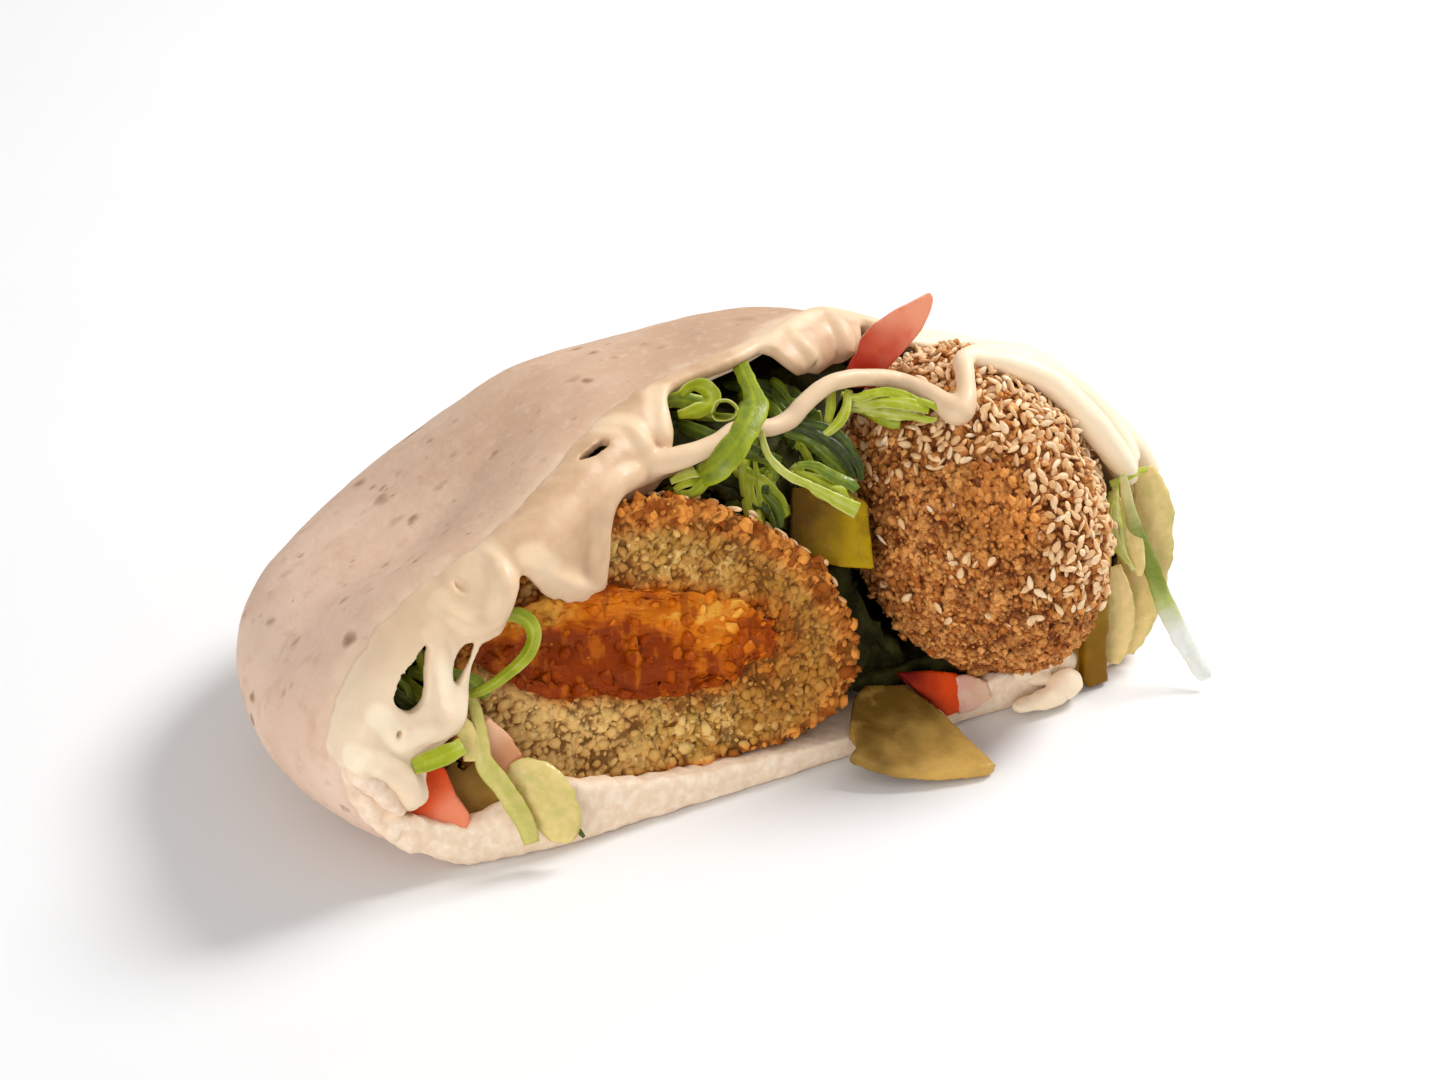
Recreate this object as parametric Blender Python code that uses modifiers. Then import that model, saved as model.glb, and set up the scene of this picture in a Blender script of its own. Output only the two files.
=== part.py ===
"""A falafel pita: a stuffed pocket bread lying on its flat side, with its open mouth towards -Y.

Metres, +Z up. The origin is on the base, under the middle of the bread's round outline.
The bread is a loft of lens-shaped sections. Two big sesame falafels sit in its mouth: one whole,
and one cut across with its chilli filling showing. Salad fills the pocket behind and between them.
Pickle, tomato and onion pieces and a long shred show at the mouth, and tahini sauce hangs from
the upper lip, winds over the salad and the whole falafel, and covers the right end of the lip.
"""

import math

import bmesh
import bpy
from mathutils import Matrix, Vector, noise

MM = 0.001
GAP = 0.35 * MM
MERGE = 0.02 * MM

# The bread's outer skin. A station runs from the widest line (0) to the back (a quarter turn).
BREAD_HALF_WIDTH = 80 * MM
BREAD_HALF_DEPTH = 62 * MM
BREAD_WALL = 4 * MM
RIM_HEIGHT = 18 * MM
CROWN_RISE = 40.5 * MM
CROWN_SLANT = 0.16
CROWN_ROUNDNESS = 2.25
PLAN_FULLNESS = 0.88
# The crown dips behind the whole falafel.
SHOULDER_DIP = 0.14
SHOULDER_START = 24 * MM
SHOULDER_END = 74 * MM
# Under its rim the bread rounds in to a flat floor, softly on the left and squarely on the right.
FLOOR_DROP_LEFT = 29 * MM
FLOOR_DROP_RIGHT = 26 * MM
FLOOR_ROUNDNESS_LEFT = 2.05
FLOOR_ROUNDNESS_RIGHT = 3.0
FLOOR_TAPER = 0.45

# The mouth: the lower lip runs along -Y, and the upper lip leans back, most over the whole falafel.
LOWER_LIP_Y = -25.5 * MM
LOWER_LIP_CORNER = 3 * MM
LIP_BASE_HEIGHT = 10 * MM
LIP_LEAN_LEFT = 0.25
LIP_LEAN_MIDDLE = 0.36
LIP_LEAN_RIGHT = 0.40

# The whole falafel leans back into the pocket. The cut one stands with its cut face forward.
WHOLE_SEMI_AXES = (21.5 * MM, 22 * MM, 28.5 * MM)
WHOLE_CENTRE = (42 * MM, -12.5 * MM, 30 * MM)
WHOLE_TILT = math.radians(-45)
CUT_HALF_WIDTH = 34.5 * MM
CUT_HALF_DEPTH = 27 * MM
CUT_RISE = 29 * MM
CUT_DROP = 15 * MM
CUT_FOOT_ROUNDNESS = 3.2
CUT_TOP_ROUNDNESS_LEFT = 2.15
CUT_TOP_ROUNDNESS_RIGHT = 1.65
CUT_BLUNTNESS = 0.85
CUT_CENTRE = (-21.5 * MM, -18 * MM, 19.6 * MM)
CUT_FACE_Y = -23.5 * MM
CUT_FACE_LEAN = math.radians(14)
CUT_FACE_TURN = math.radians(-7)
FILLING_SEMI_AXES = (25 * MM, 11 * MM, 8.5 * MM)
FILLING_CENTRE = (-26 * MM, -19.5 * MM, 27.5 * MM)
FILLING_SLOPE = math.radians(12)
FILLING_PROUD = 0.8 * MM

# The salad fills the pocket from just inside its wall. It mounds up between the two falafels.
SALAD_CLEARANCE = 1.0 * MM
SALAD_FRONT = (2 * MM, -15 * MM, 27 * MM)
SALAD_SETBACK = 2.5 * MM
SALAD_ROUGHNESS = 1.6 * MM
SALAD_MOUND = 8 * MM
MOUND_BEARING = math.radians(84)
MOUND_HALF_WIDTH = math.radians(20)

# The sauce on the upper lip, at bearings round the mouth: degrees, mm forward, mm down.
SAUCE_FRONT = (
    (59, 1.5, 1.5),
    (63, 2.5, 6),
    (70, 3, 8.5),
    (76, 2.5, 7),
    (80, 1.5, 2),
    (90, 1.5, 1.5),
    (95, 5, 4),
    (100, 9, 9),
    (105, 9, 8),
    (107.5, 9, 15),
    (112, 8, 18),
    (116, 7, 14),
    (120, 6.5, 8),
    (126, 6.5, 10),
    (131, 7, 18),
    (136, 8, 22),
    (141, 8, 26),
    (146, 7, 28),
    (151, 7, 22),
    (160, 5, 13),
    (168, 3, 6),
    (175, 1.5, 2),
)
SAUCE_HEADING = (0, -1)
SAUCE_FRONT_RIGHT = (
    (2, 2, 2),
    (9, 6, 5),
    (16, 8, 5),
    (24, 7, 3),
    (31, 4, 1.5),
)
SAUCE_HEADING_RIGHT = (-0.85, -0.53)
SAUCE_BACK = 2.5 * MM
SAUCE_THICKNESS = 2.2 * MM
SAUCE_LIFT = 0.7 * MM
FUSE_VOXEL = 0.9 * MM
FUSE_RATIO = 0.066
# The winding stream: a centre line in mm with its half-thickness.
STREAM = (
    (-18, -4.5, 53.5, 2.6),
    (-13, -8.5, 52.5, 2.5),
    (-6, -10, 53.5, 2.3),
    (-2, -9, 55, 2.1),
    (4, -9, 53, 2.1),
    (9, -8, 53, 2.0),
    (11, -8, 55, 2.0),
    (17, -7, 57, 2.0),
    (24, -7, 56, 2.0),
    (30, -6, 54, 2.0),
    (32, -13, 53.4, 2.1),
    (33.5, -18, 52.2, 2.5),
    (36.5, -16, 54, 2.3),
    (38.8, -12.4, 55.8, 2.1),
    (42, -8.6, 56.8, 2.2),
    (46, -7.5, 56.6, 2.2),
    (51, -7.3, 54.9, 2.3),
    (56, -8.5, 52.2, 2.6),
    (60, -10.5, 48, 3.2),
    (65, -10.5, 42, 3.8),
    (69.5, -9.5, 36.5, 4.2),
    (72, -9.5, 31, 3.6),
)
HOLES = (
    ((-64.2, -20, 33), (3.0, 8, 5.4)),
    ((-55.2, -20, 33.6), (2.2, 8, 3.4)),
    ((-27.5, -7.5, 56.6), (2.8, 2.6, 1.8)),
)

PICKLE = 3.0 * MM

COLOURS = {
    "bread": ((0.74, 0.55, 0.42), 0.75),
    "crust": ((0.36, 0.14, 0.04), 0.8),
    "crumb": ((0.38, 0.24, 0.08), 0.85),
    "chilli": ((0.50, 0.11, 0.01), 0.35),
    "tomato": ((0.62, 0.07, 0.03), 0.3),
    "onion": ((0.75, 0.48, 0.42), 0.4),
    "pickle": ((0.27, 0.18, 0.02), 0.35),
    "lettuce": ((0.14, 0.27, 0.03), 0.5),
    "tahini": ((0.82, 0.62, 0.42), 0.4),
}


def material(name):
    """The Principled material of that name, made on first use."""
    found = bpy.data.materials.get(name)
    if found:
        return found
    colour, roughness = COLOURS[name]
    made = bpy.data.materials.new(name)
    made.use_nodes = True
    shader = made.node_tree.nodes["Principled BSDF"]
    shader.inputs["Base Color"].default_value = (*colour, 1)
    shader.inputs["Roughness"].default_value = roughness
    return made


def collection(name):
    made = bpy.data.collections.new(name)
    bpy.context.scene.collection.children.link(made)
    return made


def add_object(name, bm, group, finish=None):
    """An object made of the bmesh, in the collection, smooth but for its sharp edges."""
    mesh = bpy.data.meshes.new(name)
    bm.to_mesh(mesh)
    bm.free()
    mesh.shade_smooth()
    mesh.set_sharp_from_angle(angle=math.radians(40))
    made = bpy.data.objects.new(name, mesh)
    group.objects.link(made)
    if finish:
        mesh.materials.append(material(finish))
    return made


def as_cutter(obj):
    obj.hide_render = True
    obj.display_type = "WIRE"
    return obj


def combine(obj, operation, others):
    for other in others:
        modifier = obj.modifiers.new(operation.lower() + "_" + other.name, "BOOLEAN")
        modifier.operation = operation
        modifier.solver = "EXACT"
        modifier.object = other


def settle(obj):
    """Apply the modifiers and the placing, and keep only the largest body that they left."""
    bpy.context.view_layer.update()
    graph = bpy.context.evaluated_depsgraph_get()
    mesh = bpy.data.meshes.new_from_object(obj.evaluated_get(graph))
    bm = bmesh.new()
    bm.from_mesh(mesh)
    bm.transform(obj.matrix_world)
    bmesh.ops.triangulate(bm, faces=bm.faces)
    bm.verts.index_update()
    bodies = []
    seen = [False] * len(bm.verts)
    for start in bm.verts:
        if seen[start.index]:
            continue
        seen[start.index] = True
        body = [start]
        for vertex in body:
            for link in vertex.link_edges:
                other = link.other_vert(vertex)
                if not seen[other.index]:
                    seen[other.index] = True
                    body.append(other)
        bodies.append(body)
    bodies.sort(key=len)
    crumbs = [vertex for body in bodies[:-1] for vertex in body]
    bmesh.ops.delete(bm, geom=crumbs, context="VERTS")
    bm.to_mesh(obj.data)
    bm.free()
    obj.data.shade_smooth()
    obj.data.set_sharp_from_angle(angle=math.radians(40))
    obj.modifiers.clear()
    obj.matrix_world = Matrix.Identity(4)
    bpy.data.meshes.remove(mesh)
    return obj


def cut_in_turn(obj, cutters):
    """Cut by one cutter after another, dropping the crumbs each time."""
    for cutter in cutters:
        combine(obj, "DIFFERENCE", [cutter])
        settle(obj)
    return obj


def grown_cutter(obj, group, gap=GAP):
    """A copy of a convex piece, larger by the gap on each side, which cuts its neighbours."""
    bpy.context.view_layer.update()
    copy = bpy.data.objects.new(obj.name + "_room", obj.data.copy())
    group.objects.link(copy)
    corners = [vertex.co for vertex in copy.data.vertices]
    low = Vector([min(c[i] for c in corners) for i in range(3)])
    high = Vector([max(c[i] for c in corners) for i in range(3)])
    middle = (low + high) / 2
    scale = [(high[i] - low[i] + 2 * gap) / (high[i] - low[i]) for i in range(3)]
    for vertex in copy.data.vertices:
        offset = vertex.co - middle
        vertex.co = middle + Vector([offset[i] * scale[i] for i in range(3)])
    copy.matrix_world = obj.matrix_world
    return as_cutter(copy)


def signed_power(value, power):
    return math.copysign(abs(value) ** power, value)


def ease(value, low, high):
    """0 below low, 1 above high, and a smooth step between."""
    share = min(max((value - low) / (high - low), 0), 1)
    return share * share * (3 - 2 * share)


def bread_point(around, station, inset=0.0):
    """A point of the bread's skin, or of a skin that lies inset within it.

    around turns about the section from the right rim (0) over the crown (a quarter turn)."""
    width_share = max(math.cos(station), 0) ** PLAN_FULLNESS
    across, rise = math.cos(around), math.sin(around)
    roundness, drop = FLOOR_ROUNDNESS_RIGHT, FLOOR_DROP_RIGHT
    if across < 0:
        roundness, drop = FLOOR_ROUNDNESS_LEFT, FLOOR_DROP_LEFT
    if rise >= 0:
        roundness = CROWN_ROUNDNESS
    side = signed_power(across, 2 / roundness)
    level = signed_power(rise, 2 / roundness)
    x = (BREAD_HALF_WIDTH - inset) * width_share * side
    y = (BREAD_HALF_DEPTH - inset) * math.sin(station)
    if rise >= 0:
        swell = 1 + CROWN_SLANT * side * width_share
        dip = ease(x, SHOULDER_START, SHOULDER_START + 24 * MM)
        dip *= ease(SHOULDER_END - x, 0, 16 * MM)
        swell *= 1 - SHOULDER_DIP * dip
        z = RIM_HEIGHT + (CROWN_RISE - inset) * width_share * level * swell
    else:
        drop = (drop - inset) * width_share**FLOOR_TAPER
        z = max(RIM_HEIGHT + drop * level, inset)
    return Vector((x, y, z))


def lip_line(point):
    """The y at which the mouth's edge passes a point of the skin."""
    lean = LIP_LEAN_LEFT
    lean += LIP_LEAN_MIDDLE * ease(point.x, -55 * MM, -5 * MM)
    lean += LIP_LEAN_RIGHT * ease(point.x, 0, 50 * MM) * ease(point.z, 15 * MM, 45 * MM)
    corner = LOWER_LIP_CORNER * ease(abs(point.x), 40 * MM, 66 * MM)
    return LOWER_LIP_Y + corner + lean * max(point.z - LIP_BASE_HEIGHT, 0)


def lip_station(around, inset=0.0, ahead=0.0):
    """The station of the mouth's edge, or of a line that lies ahead of it, by repeated steps."""
    station = -0.5
    for _ in range(60):
        y = lip_line(bread_point(around, station, inset)) - ahead
        sine = min(max(y / (BREAD_HALF_DEPTH - inset), -1), 1)
        station += 0.4 * (math.asin(sine) - station)
    return station


def sphere(segments, rings, place):
    """A UV sphere with its poles front and back, each vertex moved to place(around, share)."""
    bm = bmesh.new()
    bmesh.ops.create_uvsphere(bm, u_segments=segments, v_segments=rings, radius=1)
    for vertex in bm.verts:
        share = math.acos(min(max(vertex.co.z, -1), 1)) / math.pi
        around = math.atan2(vertex.co.y, vertex.co.x)
        vertex.co = place(around, share)
    return bm


def make_pita(name, group, grow=0.0, finish=None):
    segments, rings = 40, 16
    front = 1 / rings

    def place(around, share):
        lip = lip_station(around, -grow, grow)
        along = max(share - front, 0) / (1 - front)
        return bread_point(around, lip + (math.pi / 2 - lip) * along, -grow)

    bm = sphere(segments, rings, place)
    poles = [vertex for vertex in bm.verts if len(vertex.link_edges) == segments]
    front_pole = min(poles, key=lambda vertex: vertex.co.y)
    bmesh.ops.delete(bm, geom=[front_pole], context="VERTS")
    pita = add_object(name, bm, group, finish)
    wall = pita.modifiers.new("wall", "SOLIDIFY")
    wall.thickness = BREAD_WALL + 2 * grow
    wall.offset = -1
    wall.use_even_offset = True
    return pita


def make_salad(parts, cutters):
    """The salad behind and between the falafels, one heap that fills the pocket."""
    segments, rings, cap_rings = 32, 16, 5
    inset = BREAD_WALL + SALAD_CLEARANCE
    cap = cap_rings / rings
    middle = Vector(SALAD_FRONT)

    def place(around, share):
        lip = lip_station(around, inset, -SALAD_SETBACK)
        if share >= cap:
            along = (share - cap) / (1 - cap)
            return bread_point(around, lip + (math.pi / 2 - lip) * along, inset)
        edge = bread_point(around, lip, inset)
        inward = 1 - share / cap
        point = edge.lerp(middle, inward)
        lump = SALAD_ROUGHNESS * noise.noise(point / (9 * MM)) * min(inward * 3, 1)
        off = (around - MOUND_BEARING) / MOUND_HALF_WIDTH
        mound = SALAD_MOUND * math.exp(-off * off) * math.sin(inward * math.pi)
        return point + Vector((0, -lump - 0.6 * mound, 0.8 * mound))

    salad = add_object("salad_heap", sphere(segments, rings, place), parts, "lettuce")
    return cut_in_turn(salad, cutters)


def make_whole_falafel(parts):
    def place(around, share):
        turn = share * math.pi
        direction = Vector(
            (math.sin(turn) * math.cos(around), math.sin(turn) * math.sin(around), math.cos(turn))
        )
        swell = 1 + 0.03 * noise.noise(direction * 2.2)
        return Vector([direction[i] * WHOLE_SEMI_AXES[i] * swell for i in range(3)])

    falafel = add_object("falafel_whole", sphere(26, 15, place), parts, "crust")
    falafel.location = WHOLE_CENTRE
    falafel.rotation_euler = (WHOLE_TILT, 0, 0)
    return falafel


def make_loaf(name, group, finish=None):
    """The cut falafel before its cut: a loaf with a flat foot, a domed top and steep sides."""

    def place(around, share):
        turn = share * math.pi
        x = math.sin(turn) * math.cos(around)
        z = math.sin(turn) * math.sin(around)
        y = -math.cos(turn)
        roundness = CUT_FOOT_ROUNDNESS
        if z >= 0:
            roundness = CUT_TOP_ROUNDNESS_RIGHT if x > 0 else CUT_TOP_ROUNDNESS_LEFT
        # The section is squarer below the middle, so that the foot is flat.
        radial = math.hypot(x, z)
        if radial > 1e-6:
            side = signed_power(x / radial, 2 / roundness)
            level = signed_power(z / radial, 2 / roundness)
            x, z = side * radial**CUT_BLUNTNESS, level * radial**CUT_BLUNTNESS
        height = CUT_RISE if z > 0 else CUT_DROP
        swell = 1 + 0.02 * noise.noise(Vector((x, y, z)) * 2.5)
        return Vector((x * CUT_HALF_WIDTH, y * CUT_HALF_DEPTH, z * height)) * swell

    loaf = add_object(name, sphere(32, 16, place), group, finish)
    loaf.location = CUT_CENTRE
    return loaf


def make_face_cutter(name, ahead, group):
    """A box in front of the leaning cut face, its back wall moved ahead of that face."""
    size = 120 * MM
    bm = bmesh.new()
    bmesh.ops.create_cube(bm, size=size)
    cutter = add_object(name, bm, group)
    turn = Matrix.Rotation(CUT_FACE_TURN, 4, "Z") @ Matrix.Rotation(-CUT_FACE_LEAN, 4, "X")
    foot = Vector((CUT_CENTRE[0], CUT_FACE_Y - ahead, BREAD_WALL))
    cutter.matrix_world = Matrix.Translation(foot) @ turn @ Matrix.Translation((0, -size / 2, 0))
    return as_cutter(cutter)


def make_filling(parts, cutters):
    """The chilli and onion filling that runs through the cut falafel, a lens along its length."""

    def place(around, share):
        turn = share * math.pi
        direction = Vector(
            (math.sin(turn) * math.cos(around), -math.cos(turn), math.sin(turn) * math.sin(around))
        )
        return Vector([direction[i] * FILLING_SEMI_AXES[i] for i in range(3)])

    filling = add_object("chilli_filling", sphere(24, 12, place), parts, "chilli")
    filling.location = FILLING_CENTRE
    filling.rotation_euler = (0, FILLING_SLOPE, 0)
    room = grown_cutter(filling, cutters)
    combine(filling, "DIFFERENCE", [make_face_cutter("filling_face", FILLING_PROUD, cutters)])
    return filling, room


def make_cut_falafel(parts, cutters, filling_room):
    falafel = make_loaf("falafel_cut", parts, "crumb")
    combine(falafel, "DIFFERENCE", [make_face_cutter("cut_face", 0, cutters), filling_room])
    return falafel


def make_slice(name, finish, outline, thickness, centre, facing, group, roll=0, rounded=True):
    """A flat slice with the outline (mm), its middle at centre (mm) and its face turned to facing."""
    curve = bpy.data.curves.new(name + "_outline", "CURVE")
    curve.dimensions = "2D"
    curve.fill_mode = "BOTH"
    curve.extrude = thickness / 2
    curve.resolution_u = 3 if rounded else 1
    spline = curve.splines.new("BEZIER")
    spline.bezier_points.add(len(outline) - 1)
    for point, (x, y) in zip(spline.bezier_points, outline):
        point.co = (x * MM, y * MM, 0)
        point.handle_left_type = point.handle_right_type = "AUTO" if rounded else "VECTOR"
    spline.use_cyclic_u = True
    flat = bpy.data.objects.new(name + "_flat", curve)
    group.objects.link(flat)
    bpy.context.view_layer.update()
    graph = bpy.context.evaluated_depsgraph_get()
    mesh = bpy.data.meshes.new_from_object(flat.evaluated_get(graph))
    bpy.data.objects.remove(flat)
    bm = bmesh.new()
    bm.from_mesh(mesh)
    bpy.data.meshes.remove(mesh)
    bmesh.ops.remove_doubles(bm, verts=bm.verts, dist=MERGE)
    bmesh.ops.recalc_face_normals(bm, faces=bm.faces)
    made = add_object(name, bm, group, finish)
    turn = Vector(facing).to_track_quat("Z", "Y").to_matrix().to_4x4()
    place = Matrix.Translation(Vector(centre) * MM)
    made.matrix_world = place @ turn @ Matrix.Rotation(math.radians(roll), 4, "Z")
    return made


def grown_slice(slice_object, group, gap=GAP):
    """A copy of a slice larger by the gap all round, which cuts its neighbours."""
    bpy.context.view_layer.update()
    bm = bmesh.new()
    bm.from_mesh(slice_object.data)
    bm.transform(slice_object.matrix_world)
    bm.normal_update()
    shifts = {}
    for vertex in bm.verts:
        shift = Vector()
        for face in vertex.link_faces:
            shift += face.normal
        shifts[vertex] = shift.normalized() * gap * 1.6
    for vertex, shift in shifts.items():
        vertex.co += shift
    return as_cutter(add_object(slice_object.name + "_room", bm, group))


def make_tube(name, finish, path, group, grow=0.0, sides=2):
    """A round strand along a path of (x, y, z, half-thickness) in mm."""
    curve = bpy.data.curves.new(name + "_line", "CURVE")
    curve.dimensions = "3D"
    curve.resolution_u = 2
    curve.bevel_depth = MM
    curve.bevel_resolution = sides
    curve.use_fill_caps = True
    spline = curve.splines.new("BEZIER")
    spline.bezier_points.add(len(path) - 1)
    for point, (x, y, z, half) in zip(spline.bezier_points, path):
        point.co = Vector((x, y, z)) * MM
        point.radius = half + grow / MM
        point.handle_left_type = point.handle_right_type = "AUTO"
    line = bpy.data.objects.new(name + "_line", curve)
    group.objects.link(line)
    bpy.context.view_layer.update()
    graph = bpy.context.evaluated_depsgraph_get()
    mesh = bpy.data.meshes.new_from_object(line.evaluated_get(graph))
    bpy.data.objects.remove(line)
    bm = bmesh.new()
    bm.from_mesh(mesh)
    bpy.data.meshes.remove(mesh)
    bmesh.ops.remove_doubles(bm, verts=bm.verts, dist=MERGE)
    bmesh.ops.recalc_face_normals(bm, faces=bm.faces)
    return add_object(name, bm, group, finish)


def along_table(table, bearing):
    """The forward and downward reach of the sauce at a bearing, eased between the table's rows."""
    for first, last in zip(table, table[1:]):
        if bearing <= last[0]:
            share = ease(bearing, first[0], last[0])
            return [first[i] + share * (last[i] - first[i]) for i in (1, 2)]
    return table[-1][1:]


def make_drape(name, table, heading, columns, group, grow=0.0, finish=None):
    """Sauce that lies on the upper lip and hangs from it, thinner towards its edges."""
    rows = 8
    bm = bmesh.new()
    grid = []
    first, last = table[0][0], table[-1][0]
    for column in range(columns + 1):
        bearing = first + (last - first) * column / columns
        reach, drop = along_table(table, bearing)
        around = math.radians(bearing)
        line = []
        for row in range(3):
            behind = SAUCE_BACK * (1 - row / 3) + grow
            line.append(bread_point(around, lip_station(around, ahead=-behind), grow - SAUCE_LIFT))
        edge = bread_point(around, lip_station(around), grow - SAUCE_LIFT)
        for row in range(rows - 2):
            turn = row / (rows - 3) * math.pi / 2
            forward = reach * math.sin(turn) * MM - grow
            down = drop * (1 - math.cos(turn)) * MM + grow * row / (rows - 3)
            line.append(edge + Vector((heading[0] * forward, heading[1] * forward, -down)))
        grid.append([bm.verts.new(point) for point in line])
    for left, right in zip(grid, grid[1:]):
        for row in range(rows):
            bm.faces.new((left[row], left[row + 1], right[row + 1], right[row]))
    bmesh.ops.recalc_face_normals(bm, faces=bm.faces)
    bm.normal_update()
    middle = bm.faces[len(bm.faces) // 2]
    if middle.normal.y > 0:
        bmesh.ops.reverse_faces(bm, faces=bm.faces)
    drape = add_object(name, bm, group, finish)
    body = drape.modifiers.new("body", "SOLIDIFY")
    body.thickness = SAUCE_THICKNESS + 2 * grow
    body.offset = 1
    thin = drape.vertex_groups.new(name="body")
    count = rows + 1
    for index in range(len(drape.data.vertices)):
        column, row = divmod(index, count)
        rim = min(row, rows - row, column, columns - column)
        thin.add([index], min(0.45 + 0.3 * rim, 1), "REPLACE")
    body.vertex_group = "body"
    return drape


def make_hole(index, centre, radii, group):
    def place(around, share):
        turn = share * math.pi
        direction = (
            math.sin(turn) * math.cos(around),
            -math.cos(turn),
            math.sin(turn) * math.sin(around),
        )
        return Vector([(centre[i] + radii[i] * direction[i]) * MM for i in range(3)])

    return as_cutter(add_object(f"hole_{index}", sphere(12, 8, place), group))


def fuse(name, finish, pieces, group):
    """One body made of pieces that run into each other, with its seams flowed together."""
    bpy.context.view_layer.update()
    graph = bpy.context.evaluated_depsgraph_get()
    bm = bmesh.new()
    for piece in pieces:
        mesh = bpy.data.meshes.new_from_object(piece.evaluated_get(graph))
        bm.from_mesh(mesh)
        bpy.data.meshes.remove(mesh)
    fused = add_object(name, bm, group, finish)
    flow = fused.modifiers.new("flow", "REMESH")
    flow.mode = "VOXEL"
    flow.voxel_size = FUSE_VOXEL
    fewer = fused.modifiers.new("fewer", "DECIMATE")
    fewer.ratio = FUSE_RATIO
    return settle(fused)


def make_sauce(parts, group, rooms):
    """The tahini sauce: the drape on the lip, the stream and the right end, joined in one body."""
    pieces = (
        make_drape("sauce_left", SAUCE_FRONT, SAUCE_HEADING, 44, group),
        make_drape("sauce_right", SAUCE_FRONT_RIGHT, SAUCE_HEADING_RIGHT, 9, group),
        make_tube("sauce_stream", None, STREAM, group),
    )
    sauce = fuse("tahini_sauce", "tahini", [as_cutter(piece) for piece in pieces], parts)
    holes = [make_hole(index, *hole, group) for index, hole in enumerate(HOLES)]
    return cut_in_turn(sauce, holes + rooms)


def sauce_rooms(group):
    """Larger copies of the sauce's pieces, which keep the salad clear of it."""
    rooms = (
        make_drape("sauce_room", SAUCE_FRONT, SAUCE_HEADING, 44, group, GAP),
        make_drape("right_room", SAUCE_FRONT_RIGHT, SAUCE_HEADING_RIGHT, 9, group, GAP),
        make_tube("stream_room", None, STREAM, group, GAP),
    )
    return [as_cutter(room) for room in rooms]


TOMATO_TOP = (
    (0, 0), (-4.8, -3.2), (-11.4, -6.4), (-12.3, -9.6), (-14, -12.3), (-12.5, -17),
    (-7, -17), (-4.6, -12.3), (-1.6, -9.2), (-0.4, -5),
)  # fmt: skip
PICKLE_FRONT = ((-10, 9), (-9.5, 1), (-6, -6), (0, -10), (9, -13.5), (8, -4), (8, 9), (0, 11))
PICKLE_MIDDLE = ((-10, 10), (-3, -4), (3, -8), (11, -8.5), (8, 2), (6, 9), (-2, 12))
PICKLE_RIGHT = ((-3.4, -12.4), (3.2, -12.4), (3.8, 0), (3, 9), (-1, 12), (-3, 2))
PICKLE_LEFT = ((-5.5, 5.5), (-2, 6), (2, 2), (6, -4), (3, -6.5), (-3, -6), (-4.5, 0))
TOMATO_LEFT = ((-4.5, 0), (-1, 5.5), (1, 6), (4, 0), (5.5, -4.5), (2, -6), (-3, -4.5))
TOMATO_RIGHT = ((-6, 4), (0, 3.5), (4.5, 1), (4.5, -4), (2, -4.5), (-5, 0))
ONION_RIGHT = ((-4, 2.5), (0, 1.5), (4.5, -1), (1, -2.8), (-4, -2.2))
TOWARDS_EYE = (-0.44, -0.76, 0.47)


def make_slices(parts):
    """The slices that show at the mouth, each flat with its own outline and its own lean."""
    front = (-0.25, -0.9, 0.35)
    return {
        "tomato_top": make_slice(
            "tomato_top", "tomato", TOMATO_TOP, 5 * MM, (38.5, -2, 66), TOWARDS_EYE, parts
        ),
        "pickle_front": make_slice(
            "pickle_front", "pickle", PICKLE_FRONT, PICKLE, (19, -29.5, 5.4), (0, -0.26, 1), parts
        ),
        "pickle_middle": make_slice(
            "pickle_middle", "pickle", PICKLE_MIDDLE, PICKLE, (9.5, -12, 35), TOWARDS_EYE, parts
        ),
        "pickle_right": make_slice(
            "pickle_right", "pickle", PICKLE_RIGHT, PICKLE, (58, -27.6, 14), (0, -1, 0), parts
        ),
        "pickle_left": make_slice(
            "pickle_left", "pickle", PICKLE_LEFT, PICKLE, (-54.5, -17.5, 12), front, parts
        ),
        "tomato_left": make_slice(
            "tomato_left", "tomato", TOMATO_LEFT, PICKLE, (-62, -20, 11.5), front, parts
        ),
        "tomato_right": make_slice(
            "tomato_right", "tomato", TOMATO_RIGHT, PICKLE, (26, -21.5, 9), front, parts
        ),
        "onion_right": make_slice(
            "onion_right", "onion", ONION_RIGHT, 2.4 * MM, (34.6, -24.6, 7.7), front, parts
        ),
    }


STRAND = (
    (62, -25, 38, 1.0),
    (66, -27.5, 24, 1.2),
    (68.6, -29.5, 13, 1.3),
    (71, -33, 6, 1.3),
    (72.2, -38, 1.8, 1.2),
)
DROP = ((39, -28.6, 3, 1.6), (43, -29.3, 3, 2.7), (48, -29.4, 3, 2.7), (52.3, -28.4, 3, 1.6))


def clear_scene():
    for obj in list(bpy.data.objects):
        bpy.data.objects.remove(obj)


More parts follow.
